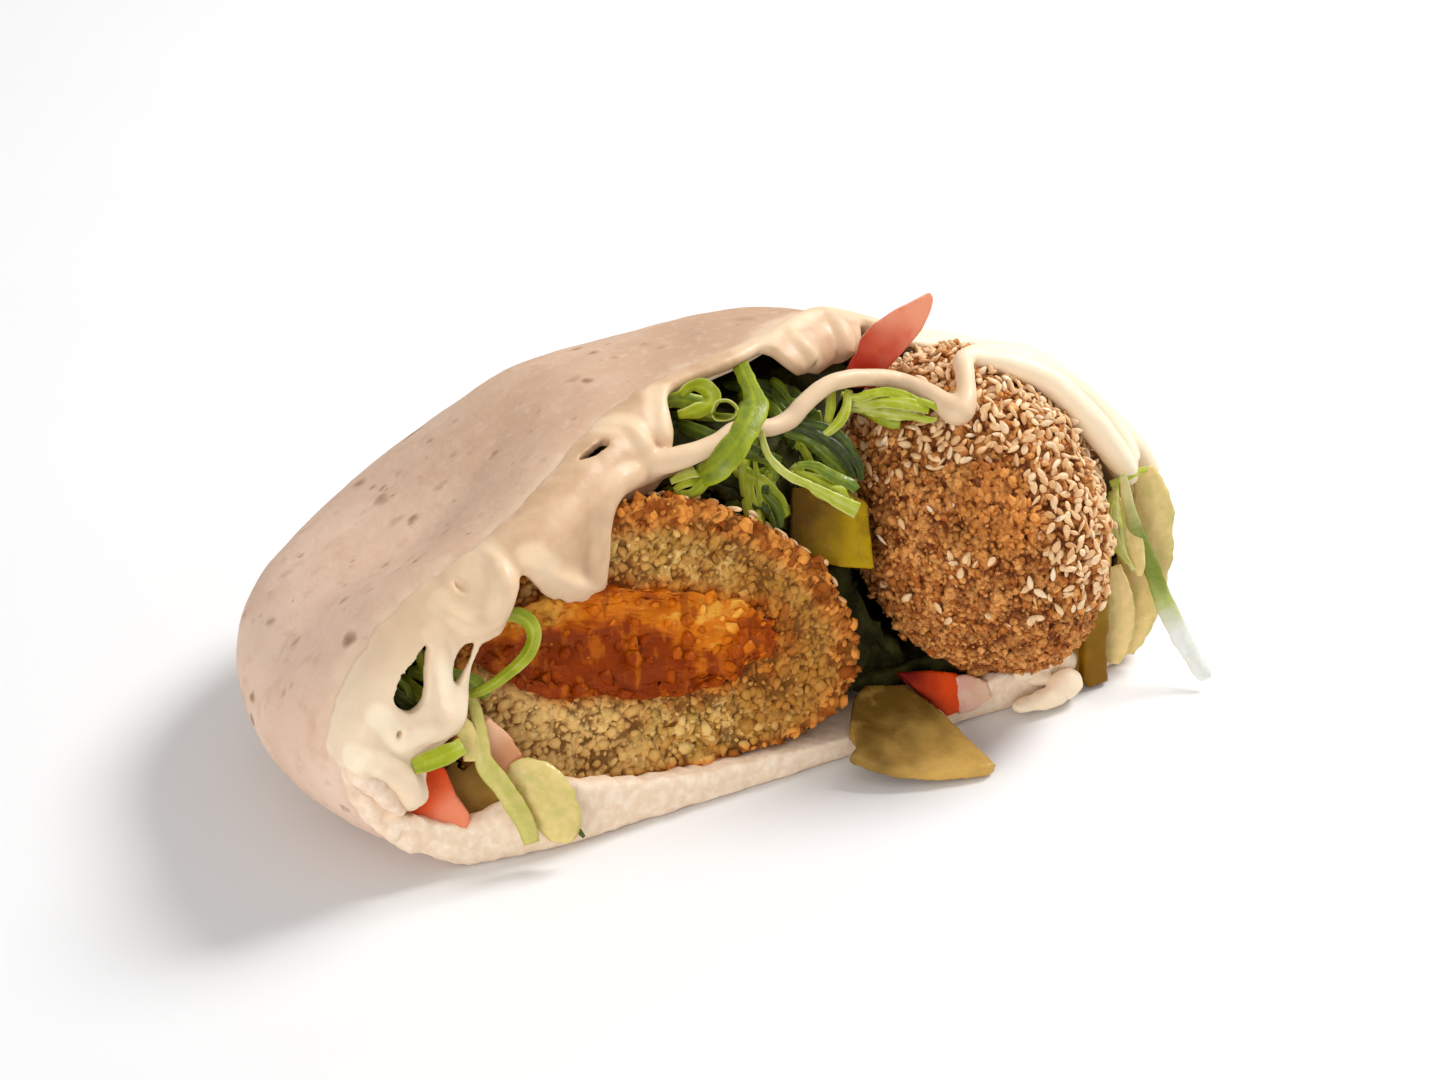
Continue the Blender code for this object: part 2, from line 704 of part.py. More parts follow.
def main():
    clear_scene()
    parts = collection("falafel_pita")
    cutters = collection("cutters")
    make_pita("pita_bread", parts, finish="bread")
    bread_room = as_cutter(make_pita("bread_room", cutters, GAP))
    whole = make_whole_falafel(parts)
    filling, filling_room = make_filling(parts, cutters)
    make_cut_falafel(parts, cutters, filling_room)
    whole_room = grown_cutter(whole, cutters)
    loaf_room = grown_cutter(as_cutter(make_loaf("loaf", cutters)), cutters)
    face_room = grown_cutter(cutters.objects["loaf"], cutters)
    combine(face_room, "DIFFERENCE", [make_face_cutter("face_front", FILLING_PROUD + GAP, cutters)])
    slices = make_slices(parts)
    slice_rooms = []
    for made in slices.values():
        room = grown_slice(made, cutters)
        cut_in_turn(made, [bread_room, whole_room, face_room, *slice_rooms])
        slice_rooms.append(room)
    front_rooms = [whole_room, face_room, *slice_rooms]
    for name, finish, path in (
        ("lettuce_strand", "lettuce", STRAND),
        ("tahini_drop", "tahini", DROP),
    ):
        cut_in_turn(make_tube(name, finish, path, parts), [bread_room, *front_rooms])
    make_sauce(parts, cutters, front_rooms)
    make_salad(parts, [whole_room, loaf_room, *slice_rooms, *sauce_rooms(cutters)])


main()
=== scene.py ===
"""The looks of the falafel pita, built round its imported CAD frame.

Points are numpy arrays in millimetres until a mesh is made of them. X runs along the mouth,
-Y out of it and Z up, as in the frame.
"""

import itertools
import math

import bmesh
import bpy
import numpy as np
from mathutils import Matrix, Vector
from mathutils.kdtree import KDTree


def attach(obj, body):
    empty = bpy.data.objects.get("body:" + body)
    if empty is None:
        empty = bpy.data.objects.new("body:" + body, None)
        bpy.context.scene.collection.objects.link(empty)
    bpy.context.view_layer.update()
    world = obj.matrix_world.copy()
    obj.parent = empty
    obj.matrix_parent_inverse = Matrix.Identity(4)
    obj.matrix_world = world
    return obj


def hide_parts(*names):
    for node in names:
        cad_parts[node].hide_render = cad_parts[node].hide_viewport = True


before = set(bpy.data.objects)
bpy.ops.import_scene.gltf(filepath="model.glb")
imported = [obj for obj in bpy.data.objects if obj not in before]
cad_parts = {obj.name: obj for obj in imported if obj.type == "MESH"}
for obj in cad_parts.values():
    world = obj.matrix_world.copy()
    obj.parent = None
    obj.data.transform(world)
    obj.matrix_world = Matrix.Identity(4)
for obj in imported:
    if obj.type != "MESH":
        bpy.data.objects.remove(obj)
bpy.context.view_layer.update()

MM = 0.001
UP = np.array((0.0, 0.0, 1.0))
NOISE_ROUGHNESS = 0.55
LIGHT_TARGET = (0.0, 0.0, 0.03)
# Rows of points along a shred of leaf and across it.
RIBBON_STEPS, RIBBON_ACROSS = 48, 9
OUT_OF_MOUTH = np.array((-0.44, -0.76, 0.47))

# ---------------------------------------------------------------- the shapes of the CAD frame

BREAD_HALF_WIDTH, BREAD_HALF_DEPTH, BREAD_WALL = 80.0, 62.0, 4.0
RIM_HEIGHT, CROWN_RISE, CROWN_SLANT, CROWN_ROUNDNESS = 18.0, 40.5, 0.16, 2.25
PLAN_FULLNESS = 0.88
SHOULDER_DIP, SHOULDER_START, SHOULDER_END = 0.14, 24.0, 74.0
# Behind the rim the crown falls away towards its left end.
LEFT_FALL, FALL_START, FALL_END, FALL_REACH = 0.34, 14.0, 56.0, 26.0
FLOOR_DROP_LEFT, FLOOR_DROP_RIGHT = 29.0, 26.0
FLOOR_ROUNDNESS_LEFT, FLOOR_ROUNDNESS_RIGHT, FLOOR_TAPER = 2.05, 3.0, 0.45
LOWER_LIP_Y, LOWER_LIP_CORNER, LIP_BASE_HEIGHT = -25.5, 3.0, 10.0
# The upper lip's wall is thinner by this much.
LIP_THINNING = 2.9
# The bread's mesh: points round it, its rows, and the station where its skins close at the back.
BREAD_COLUMNS, OUTER_ROWS, INNER_ROWS, LIP_ROWS = 320, 110, 40, 15
BACK_STATION = 1.5
LIP_LEAN_LEFT, LIP_LEAN_MIDDLE, LIP_LEAN_RIGHT = 0.25, 0.36, 0.40

WHOLE_SEMI_AXES = np.array((21.5, 22.0, 28.5))
WHOLE_CENTRE = np.array((42.0, -12.5, 30.0))
WHOLE_TILT = math.radians(-45)

CUT_HALF_WIDTH, CUT_HALF_DEPTH, CUT_RISE, CUT_DROP = 34.5, 27.0, 29.0, 15.0
CUT_FOOT_ROUNDNESS, CUT_TOP_ROUNDNESS_LEFT, CUT_TOP_ROUNDNESS_RIGHT = 3.2, 2.15, 1.65
CUT_BLUNTNESS = 0.85
CUT_CENTRE = np.array((-21.5, -18.0, 19.6))
CURTAIN_LIFT, CURTAIN_REACH, CURTAIN_SHOULDER = 0.6, 7.0, 4.0
OPENING_REACH = 7.0
CUT_FACE_Y, CUT_FACE_LEAN, CUT_FACE_TURN = -23.5, math.radians(14), math.radians(-7)
FILLING_SEMI_AXES = np.array((25.0, 11.0, 8.5))
FILLING_CENTRE = np.array((-26.0, -19.5, 27.5))
FILLING_SLOPE = math.radians(12)
# The middle of the whole falafel's bare patch, as a direction before its tilt.
BARE_PATCH = np.array((-0.37, -0.91, -0.19))
BARE_EDGE = (0.31, 0.23)
# Single seeds below the seeded part, as directions, and a seed's length, width and thickness.
STRAY_SEEDS = ((-0.67, -0.64, -0.39), (-0.28, -0.72, -0.64), (-0.17, -0.63, -0.76))
SEED_SIZE = (2.35, 1.2, 0.72)

# The sauce hangs from the upper lip as a curtain. A place on it is a bearing round the mouth in
# degrees and the way down from the lip in mm. The lower edge of the curtain, bearing and down:
SAUCE_EDGE = (
    (57, 1), (62, 1.3), (65.8, 1.6), (67.3, 2.7), (68.7, 5.6), (70, 7.6), (71.6, 8.8),
    (74.4, 9.4), (77.3, 9.2), (79.2, 8.4), (81, 7.6), (82.2, 5.6), (83, 2.6), (84, 1.4),
    (92, 1.3), (94.5, 1.5), (95.6, 3.2), (96.2, 8), (97, 12.8), (98, 15), (99.8, 15.1),
    (103.2, 13.4), (105.2, 12.8), (106.1, 14.4), (106.8, 18), (107.4, 21), (108.2, 22.9),
    (109.6, 23.2), (112, 21.4), (114.3, 19), (116.8, 16.2), (118.8, 13.2), (121, 9.4),
    (122.6, 6.2), (123.6, 5.9), (124.4, 8.2), (125.2, 10), (126.2, 11.6), (127.2, 13),
    (129, 12.4), (130.9, 11.8), (132.4, 11.2), (133, 17), (133.3, 22), (134.4, 24.1),
    (137, 24.3), (139.5, 23.7), (141.6, 23.4), (142.3, 28.4), (143.2, 30.4), (144.6, 30.9),
    (146.3, 29.8), (149, 27.5), (151.2, 25.2), (153.5, 21.5), (157.5, 16.8), (164.2, 10.2),
    (171, 3.8), (174, 1.2),
)  # fmt: skip
SAUCE_EDGE_RIGHT = ((2, 1.5), (8, 5), (14, 7.5), (21, 6.5), (28, 5), (36, 4), (46, 3.6), (60, 3))
# Thick folds and runs on the curtain: bearing, down and half-thickness along each.
SAUCE_FOLDS = (
    ((93.8, 12.2, 1.8), (96.8, 11.6, 2.2), (100.5, 9.8, 2.4), (104.7, 7.8, 2.3), (107.4, 8.6, 2.3),
     (108.8, 12, 2.4), (109.4, 16.5, 2.5), (110.4, 19.8, 2.6)),
    ((111.5, 19, 1.9), (114.5, 15.4, 1.6), (118, 10.4, 1.2), (121, 5, 0.7)),
    ((103.2, 0.4, 1.0), (101.2, 2.6, 1.5), (100.4, 6, 1.9), (101, 8.6, 1.8)),
    ((95.6, 1.5, 1.0), (97.2, 5, 1.6), (97.6, 9, 1.8)),
    ((126.2, -0.6, 0.9), (125.8, 2, 1.5), (126.2, 4.8, 1.9), (127.3, 7.4, 2.0), (128.8, 9.3, 1.8)),
    ((129, 9.2, 1.6), (132, 7.4, 1.5), (134.3, 5.2, 1.3), (135.5, 2.5, 1.0)),
    ((137.8, 5.2, 1.0), (137.4, 9, 1.2), (137, 12, 1.3), (136.8, 16, 1.5), (135.4, 19.6, 1.9),
     (138, 20.8, 2.0), (142.8, 18.4, 1.9), (147, 16.6, 1.6), (150.5, 13, 1.3), (154, 7, 1.0)),
    ((165.5, 5, 1.2), (160, 9.5, 1.6), (156.7, 12.6, 1.8), (152.5, 17, 2.1), (149.5, 20.6, 2.4),
     (146.4, 25, 2.6), (145.2, 28, 2.3)),
    ((72, 0.4, 1.4), (71.8, 3.6, 2.2), (72.4, 6.8, 2.2)),
    ((79.8, 0.6, 1.2), (79.3, 3.4, 1.9), (78.6, 6, 1.8)),
    ((86, 0.2, 0.9), (81, 0.4, 1.4), (75, 0.2, 1.6), (69, 0.4, 1.6), (62, 0.6, 1.5)),
)  # fmt: skip
# A thread of sauce over the gap beside the second opening.
SAUCE_THREAD = ((130.7, 10.6, 0.7), (131.9, 13, 0.5), (133, 14.9, 0.55), (134.4, 17.4, 1.0))
# Openings through the curtain: the bearing and down of their outlines.
SAUCE_HOLES = (
    ((139.8, 5.4), (141.2, 4.8), (144, 5.5), (146.5, 5.4), (148.5, 6.2), (149.8, 7.4), (148.2, 10),
     (145.5, 12.9), (142.9, 14.1), (141.6, 13.4), (141.1, 11.7), (140.8, 9.2), (140.3, 7)),
    ((132.4, 10.4), (134, 9.9), (135.2, 10.9), (135.9, 12.6), (135.7, 14.7), (134.8, 15.9),
     (133.5, 14.9), (132.2, 13.5), (131.1, 12.4), (130.9, 11.6)),
    ((108.7, 0.9), (107.5, 1.1), (106, 1.4), (105, 1.6), (104.1, 1.9), (104.3, 2.7), (105.3, 2.7),
     (106.5, 2.4), (107.8, 1.8)),
)  # fmt: skip
# Pits in it: bearing, down and radius.
SAUCE_PITS = ((131.5, 2.3, 0.75), (148, 14.8, 0.65))
# The torn corner of the pocket on the left: x, y, z and half-thickness.
CORNER_FOLD = (
    (-76, -23.6, 23.4, 1.3), (-74.6, -24.2, 21.6, 1.7), (-71.5, -23.8, 17.5, 1.6),
    (-68.4, -23.2, 13, 1.1),
)  # fmt: skip
STREAM = (
    (-20, -7, 51.5, 2.4), (-13, -9.5, 52, 1.9), (-6, -10, 53.3, 1.6), (-2, -9.5, 54.4, 1.5),
    (4, -9, 53, 1.5), (8.5, -8.2, 53.2, 1.7), (11, -8, 55, 1.55), (17, -7, 57, 1.5),
    (24, -7, 56.2, 1.5), (29.5, -7, 54.3, 1.6), (32, -12.5, 53.6, 1.8), (33.6, -17.6, 52.2, 2.3),
    (36, -16.5, 53.4, 1.9), (38.4, -12.6, 55.6, 1.6), (40.8, -9, 56.2, 1.8),
    (46.4, -8, 55.2, 2.4), (52.4, -8.4, 52.4, 2.9), (57.9, -9.4, 48.6, 3.3), (62.8, -11.4, 44, 3.4),
    (65.6, -14, 40, 3.4), (67.8, -16, 35.6, 2.8), (69.4, -17, 32.4, 1.6),
)  # fmt: skip
# The broad flow over the right shoulder lies on both sides of the stream.
SHOULDER_FLOWS = (
    ((46, -5.8, 55.0, 1.8), (51, -6, 53, 2.2), (56, -7, 50, 2.6), (61.3, -8.2, 46, 2.8),
     (65.6, -10.2, 41.8, 2.8), (69, -12.4, 37, 2.6), (71.5, -14.6, 32.6, 1.8)),
    ((43, -9.5, 56, 1.5), (48, -11, 54.6, 2.1), (53.5, -14, 51.6, 2.4), (57, -17.5, 47.6, 2.6),
     (60, -19.5, 43.4, 2.6), (63.5, -20, 38.6, 2.4), (66.5, -19.5, 34.4, 2.0), (68, -19, 32, 1.4)),
    ((45.5, -3.4, 54.3, 2.0), (50, -3.4, 52.3, 2.4), (55, -4.2, 49.8, 2.8), (60.2, -5, 46.4, 3.0),
     (64.5, -6.6, 42.6, 3.2), (69.3, -8.6, 37.9, 3.2), (74.4, -10.6, 32.4, 2.8),
     (77.1, -12.8, 28.3, 2.0)),
)  # fmt: skip
# Shreds of lettuce: shade from 0, dark, over 0.5, bright, to 1, pale; cup, frill, and knots of
# x, y, z, half-width and twist in degrees about their own line.
SHREDS = (
    (0.44, 0.35, 0.0, ((6, 3.5, 58.6, 1.3, 0), (3.8, -4, 57.5, 1.4, 0), (1.9, -8, 56.9, 2.4, 0),
     (-1.4, -11.5, 55.7, 2.1, 8), (-5.3, -13.5, 53.4, 2.3, 15), (-8, -13, 50.8, 2.4, 20),
     (-9.5, -10, 48.4, 1.6, 20))),
    (0.72, 0.2, 0.0, ((-4.3, -6, 56.4, 0.9, 80), (-3.4, -5.8, 57.9, 0.9, 80),
     (-1.6, -6.2, 57.8, 0.9, 80), (-0.6, -7, 56.4, 0.9, 80), (-2, -7, 55.1, 0.9, 80),
     (-3.9, -6.4, 55.3, 0.8, 80), (-4.5, -6, 56.2, 0.7, 80))),
    (0.62, 0.3, 0.2, ((-6.8, 0, 57.6, 0.8, 30), (-5.2, -0.6, 58.9, 1.2, 50),
     (-3.4, -1.4, 58.8, 1.5, 40), (-2.6, -2.6, 57.6, 1.5, 20), (-4, -3.6, 56.5, 1.3, 0),
     (-6.4, -3.4, 56, 1.2, -20), (-8.6, -2.4, 55.6, 0.8, -30))),
    (0.45, 0.3, 0.2, ((-9.5, 1.5, 56, 0.9, 20), (-7, 0.4, 56.6, 1.3, 10),
     (-4, -0.6, 55.6, 1.5, -10), (-1.5, -1, 53.8, 1.2, -30))),
    (0.62, 0.35, 0.1, ((-14, -10.4, 47.4, 1.2, 0), (-11.5, -11, 48.6, 2.2, 0),
     (-9.2, -11, 48.9, 2.2, 0), (-7.2, -9.6, 48.4, 1.4, 10))),
    (0.80, 0.3, 0.0, ((1.4, -11, 54, 0.5, 0), (1.5, -12.6, 51, 0.55, 0), (2.4, -14.6, 49, 0.6, 0),
     (4.3, -16, 47.2, 0.7, 0), (6.8, -17.4, 45.9, 0.6, 0))),
    (0.50, 0.5, 0.4, ((4.5, -14.4, 47.6, 0.8, 20), (7.5, -15.5, 46.9, 1.8, 10),
     (10, -17.2, 45.2, 2.6, 0), (12.2, -18.8, 43.4, 2.4, -5), (13.9, -20, 41.6, 1.3, -10))),
    (0.74, 0.3, 0.1, ((5.4, -16.6, 46.6, 0.5, 0), (8.1, -18.4, 44.9, 0.8, 0),
     (10.7, -20, 43, 1.1, 0), (13.4, -20.8, 41.2, 1.3, 0))),
    (0.16, 0.4, 0.3, ((8, -6.6, 51.6, 1.3, 0), (11, -9, 50.8, 2.4, 10), (14, -11.4, 48.6, 2.8, 0),
     (16, -13.6, 45.6, 2.4, -10), (16.6, -15, 42.4, 1.2, -10))),
    (0.66, 0.4, 0.0, ((17.9, -5, 55, 0.7, 0), (16.3, -7.6, 53.1, 0.8, 0),
     (14.8, -9, 50.8, 0.6, 0))),
    (0.70, 0.4, 0.0, ((20, -7, 55, 0.6, 0), (18, -9.4, 53.2, 0.8, 20), (16, -10.4, 51.5, 0.8, 0),
     (13, -10.4, 49.8, 0.6, 0))),
    (0.58, 0.4, 0.5, ((18, -7.4, 53.4, 1.2, 10), (21.4, -9.4, 53.4, 2.3, 0),
     (24.4, -11.8, 53.6, 2.6, -10), (27.4, -14, 53.4, 2.2, 0), (29.6, -15.6, 52.6, 1.7, 0),
     (31.2, -16.8, 51.6, 0.7, 0))),
    (0.52, 0.3, 0.3, ((19.6, -5, 53, 1.0, 0), (22.6, -7.4, 51.6, 1.8, 20),
     (25.4, -10.6, 51, 1.8, 0), (28, -13.6, 50.6, 1.0, 0))),
    (0.60, 0.3, 0.0, ((-48.4, -17.6, 38.2, 0.9, 0), (-46.4, -18.6, 38.3, 1.2, 10),
     (-44.4, -19.6, 37.2, 1.25, 20), (-43.8, -20.4, 34.6, 1.3, 30), (-45.6, -21, 31.9, 1.1, 20),
     (-49.2, -21, 29.6, 0.9, 10), (-52.6, -20.4, 27.8, 0.7, 0), (-55.4, -19, 26.8, 0.6, 0))),
    (0.64, 0.1, 0.0, ((-66.4, -24.3, 20.6, 1.3, 0), (-63.4, -24.9, 21.3, 1.5, 0),
     (-60.4, -25.1, 21.8, 1.5, 0), (-58.2, -24.6, 22, 1.2, 0))),
    (0.22, 0.3, 0.2, ((-67, -18, 33, 1.0, 20), (-65.4, -18.6, 30.8, 1.7, 0),
     (-63.8, -19.6, 28.4, 1.8, -10), (-62, -20, 26, 1.2, 0))),
    (0.40, 0.3, 0.2, ((-58, -18.4, 31.6, 0.8, 30), (-56, -18.8, 30.4, 1.2, 10),
     (-53.4, -19.4, 28.6, 1.4, 0), (-51.6, -19.8, 26, 0.9, 0))),
    (0.86, 0.3, 0.2, ((62.6, -20.6, 34.6, 0.8, 0), (62, -22, 32.6, 1.3, 0),
     (61.4, -23.6, 29.6, 1.8, 0), (61.2, -25, 26, 1.7, 0), (62.4, -26.6, 22.4, 1.2, 0),
     (63.6, -27.4, 19.6, 0.7, 0))),
    (0.72, 0.2, 0.0, ((62, -21.4, 33.8, 0.5, 0), (65.4, -21.4, 34.2, 0.6, 0),
     (68.5, -20.6, 34.2, 0.5, 0), (71.4, -19.4, 33.4, 0.4, 0))),
    (0.10, 0.2, 0.0, ((-42.6, -30.6, 5.8, 0.3, 0), (-42.3, -31.2, 5.2, 0.45, 0),
     (-42, -32, 4.6, 0.3, 0))),
)  # fmt: skip
# Shades of leaf from dark to pale, and of the pale leaves from white to green.
LEAF_SHADES = (
    (0.026, 0.038, 0.006), (0.11, 0.165, 0.014), (0.38, 0.43, 0.012), (0.66, 0.64, 0.24),
)  # fmt: skip
PALE_SHADES = ((0.88, 0.64, 0.27), (0.60, 0.52, 0.15), (0.40, 0.42, 0.05))
# Watery pale leaf and stalk, with the same columns.
PALE_SHREDS = (
    (0.55, 0.3, 0.1, ((-54.6, -19.4, 27.4, 0.7, 0), (-54.2, -21, 24.9, 1.0, 0),
     (-54.6, -23, 21.7, 1.2, 0), (-54.8, -24.8, 17.8, 1.4, 0), (-53, -26.4, 14.4, 1.5, 0),
     (-51.6, -27.8, 11.2, 1.5, 0), (-50.4, -29, 8, 1.5, 0), (-49.8, -29.8, 4.8, 1.2, 0))),
    (0.25, 0.3, 0.35, ((-50.6, -24, 14.6, 1.2, 0), (-48.4, -25.6, 14.2, 2.8, 0),
     (-46.4, -27.6, 12.2, 3.7, 0), (-45.4, -29.4, 9, 3.7, 0), (-45.2, -30.2, 6, 3.0, 0),
     (-45.4, -30.4, 3.8, 1.6, 0))),
    # Partly painted light: the three shreds on the right are pale leaf, laid broad and pale yellow
    # over the bread's inner wall to stand in for the light on that wall.
    (0.15, 0.4, 0.2, ((63.2, -22.4, 31.4, 0.7, 0), (63.8, -24, 28.4, 1.5, 0),
     (64.2, -25.4, 24.8, 1.7, 0), (64.6, -26.8, 21, 1.3, 0), (64.8, -27.4, 18.6, 0.5, 0))),
    (0.12, 0.3, 0.1, ((70.2, -19.4, 33.6, 1.6, 0), (71.2, -20.4, 29.6, 3.0, 0),
     (71.2, -21, 24.6, 4.0, 0), (69.8, -22, 18.6, 4.6, 0), (67.4, -23, 12.4, 4.8, 0),
     (65.2, -23.8, 7, 4.2, 0), (63.8, -24.2, 3, 2.6, 0))),
    (0.08, 0.3, 0.1, ((61.5, -24.4, 20, 1.2, 0), (62.4, -25, 15, 2.2, 0), (62.6, -25.4, 10, 2.6, 0),
     (61.8, -25.8, 5, 2.2, 0), (61, -26, 2.5, 1.4, 0))),
    (0.30, 0.4, 0.1, ((-59, -20.6, 27, 0.8, 0), (-57.4, -21.6, 24.4, 1.4, 0),
     (-56.2, -22.6, 21.4, 1.5, 0), (-56.6, -23.6, 18.2, 1.0, 0))),
)  # fmt: skip
STRAND = (
    (61.9, -24.8, 37.2, 0.6, 0), (62.8, -25, 33, 0.9, 0), (64.4, -25.4, 27.5, 1.1, 0),
    (66.3, -25.8, 23, 1.3, 0), (67.7, -27, 18.6, 1.5, 0), (68.9, -29, 13.4, 1.6, 0),
    (70.1, -31.6, 9, 1.7, 0), (71.3, -34.4, 5.2, 1.6, 0), (71.9, -36.8, 2.8, 1.4, 0),
    (72.1, -37.6, 1.9, 0.8, 0),
)  # fmt: skip
# Cut slices: piece, CAD node, slot, thickness, the two shades its tone runs between, spots,
# direction of rise, and the corners of its front face.
SLICES = (
    ("tomato_top_wedge", "tomato_top", "tomato", 3.4,
     (0.52, 0.030, 0.010), (0.92, 0.34, 0.20), (0.76, 0.12, 0.045), (1, 0, 0.9),
     ((23.2, -1.2, 55.1), (24.4, -0.9, 56.6), (25.5, -0.8, 57.9), (26.4, -0.2, 59.8),
      (28.6, -0.3, 61.7), (32.3, -1.1, 63.8), (38, -2.7, 66.3), (38.2, -3.3, 65.2),
      (37.2, -3.9, 63.3), (35.3, -4.5, 60.8), (32.4, -4.4, 58.2), (29.4, -4.2, 55.6),
      (27.4, -4, 52.4), (23.6, -1.9, 52.4))),
    ("tomato_left_piece", "tomato_left", "tomato", 3.0,
     (0.80, 0.075, 0.010), (0.87, 0.27, 0.14), (0.84, 0.14, 0.04), (0.8, -0.2, -0.8), None),
    ("tomato_right_piece", "tomato_right", "tomato", 2.6,
     (0.14, 0.005, 0.002), (0.70, 0.065, 0.006), (0.40, 0.025, 0.004), (1, 0, -0.1),
     ((20.6, -22.6, 10.6), (25.9, -24, 10.2), (30.4, -25.6, 9.2), (30.2, -26.6, 6.6),
      (29.4, -28.2, 3.6), (27, -28, 3.2), (23.9, -25.5, 6.6))),
    ("onion_right_piece", "onion_right", "onion", 2.2,
     (0.72, 0.40, 0.31), (0.76, 0.48, 0.30), (0.82, 0.56, 0.40), (1, 0, 0),
     ((30, -25.6, 8.8), (32.4, -25.9, 8.5), (35.4, -26.8, 6.8), (35.6, -28.2, 4.6),
      (32.4, -28.7, 3.4), (29, -28.3, 3.2))),
    # Painted shadow: the front pickle's tone runs darkest at its upper left and back, which lie in
    # shadow.
    ("pickle_front_slice", "pickle_front", "pickle", 2.2,
     (0.15, 0.080, 0.011), (0.66, 0.40, 0.10), (0.46, 0.28, 0.065), (0.5, -1, -0.4),
     ((12.4, -22.6, 8.7), (15.5, -21, 9.2), (21.6, -23.2, 8.5), (23.4, -27.6, 7.1),
      (24.6, -31.5, 5.9), (25.3, -37.5, 3.9), (26.5, -42.9, 2.3), (24.7, -43, 2.2),
      (16.8, -41.2, 2.8), (11, -38.5, 3.6), (7.7, -35.6, 4.6), (5.4, -32.8, 5.5),
      (8, -31.4, 5.9), (8, -28.2, 6.9))),
    # Painted shade: the middle pickle's tone runs darkest at its left, back and top, and its left
    # part lies in shade.
    ("pickle_middle_slice", "pickle_middle", "pickle", 3.0,
     (0.13, 0.060, 0.001), (0.44, 0.28, 0.003), (0.24, 0.13, 0.002), (1, -0.6, -0.6),
     ((8.9, -8.1, 40.8), (15.6, -11.8, 41), (18.8, -15, 38.7), (18.2, -17, 34.9),
      (17.4, -19.8, 29.3), (13.3, -17.4, 29.6), (9, -14.4, 30.4), (6.6, -11.3, 33.5))),
    ("pickle_right_slice", "pickle_right", "pickle", 2.4,
     (0.22, 0.100, 0.001), (0.31, 0.18, 0.003), (0.26, 0.125, 0.002), (0.3, 0, 1),
     ((53.8, -27.6, 24.6), (55.8, -27.6, 26), (58.5, -27.6, 25), (58.6, -27.9, 16.2),
      (58.3, -28.1, 6.7), (59, -28.4, 0.5), (55, -28.4, 0.5), (54, -28.2, 2.2),
      (53.7, -27.9, 13.7))),
    ("pickle_left_slice", "pickle_left", "pickle", 3.0,
     (0.11, 0.05, 0.004), (0.34, 0.20, 0.04), (0.20, 0.11, 0.012), (0, -0.5, -1), None),
)  # fmt: skip
# More cut pieces, which have no node of their own, in the same columns.
CHUNKS = (
    ("pickle_corner_plank", None, "pickle", 2.4,
     (0.16, 0.078, 0.006), (0.40, 0.235, 0.045), (0.30, 0.16, 0.02), (-0.4, 0, -1),
     ((49.3, -26.6, 1.6), (54.8, -26.6, 0.6), (54.8, -26.2, 16.9), (53.4, -26, 15.8),
      (51.1, -26.2, 10.4), (49.8, -26.4, 5.4))),
    ("onion_left_piece", None, "onion", 2.2,
     (0.62, 0.27, 0.12), (0.82, 0.47, 0.28), (0.86, 0.36, 0.22), (0, 0, 1),
     ((-55.4, -22.4, 22.2), (-52.4, -22.4, 23.8), (-49.4, -22.4, 20), (-47.6, -23.4, 16.2),
      (-50.3, -24.2, 14.6), (-52.8, -23.4, 15.8), (-55, -22.4, 18.4))),
)  # fmt: skip
# Lumps of tahini at the foot of the whole falafel, on the table and on the bread above it:
# centre and half-sizes.
DROP = (
    (49.2, -29.2, 3.3, 3.4, 2.5, 2.7), (45.2, -30, 2.3, 4.2, 2.0, 1.7),
    (41.4, -29.6, 2.1, 2.6, 1.6, 1.2),
)  # fmt: skip
SMEARS = (
    (43.5, -26.4, 6.2, 3.4, 1.5, 1.5), (47.6, -26.2, 6.8, 2.8, 1.6, 1.9),
    (51.4, -26, 5.6, 2.4, 1.5, 2.2), (39.6, -26.2, 5, 2.6, 1.4, 1.2),
    (45.6, -27.2, 4.6, 2.4, 1.3, 1.2), (50, -27, 7.6, 1.8, 1.2, 1.0),
)  # fmt: skip
# The torn lower lip: along x, the height it stands up to.
LOWER_LIP_TOP = (
    (-72, 8), (-64, 6.5), (-57, 7.5), (-50, 10), (-43, 11.6), (-36, 9.8), (-29, 7.6), (-18, 6),
    (-7, 5), (8, 4.2), (24, 4), (31, 5), (36, 7.2), (48, 7.6), (53, 6), (60, 6), (72, 7),
)  # fmt: skip


# ---------------------------------------------------------------- arrays and noise


def hashed(cells, salt):
    """An even number from 0 to 1 for each lattice cell, the same in each run."""
    cells = cells.astype(np.int64).astype(np.uint32)
    value = cells[:, 0] * np.uint32(374761393) + cells[:, 1] * np.uint32(668265263)
    value += cells[:, 2] * np.uint32(2246822519) + np.uint32(salt * 3266489917 % 2**32)
    for shift, factor in ((15, 2246822519), (13, 3266489917)):
        value ^= value >> np.uint32(shift)
        value *= np.uint32(factor)
    value ^= value >> np.uint32(16)
    return value / 2.0**32


def hashed_vectors(cells, salt):
    """Three even numbers from 0 to 1 for each lattice cell."""
    return np.stack([hashed(cells, 3 * salt + axis) for axis in range(3)], axis=1)


def gradient_noise(points, salt):
    """Smooth noise, about -1 to 1, with features about one unit across."""
    base = np.floor(points)
    local = points - base
    eased = local**3 * (local * (local * 6 - 15) + 10)
    total = np.zeros(len(points))
    for corner in itertools.product((0, 1), repeat=3):
        step = np.array(corner)
        slopes = hashed_vectors(base + step, salt) * 2 - 1
        weight = np.prod(np.where(step, eased, 1 - eased), axis=1)
        total += weight * np.sum((local - step) * slopes, axis=1)
    return total * 1.6


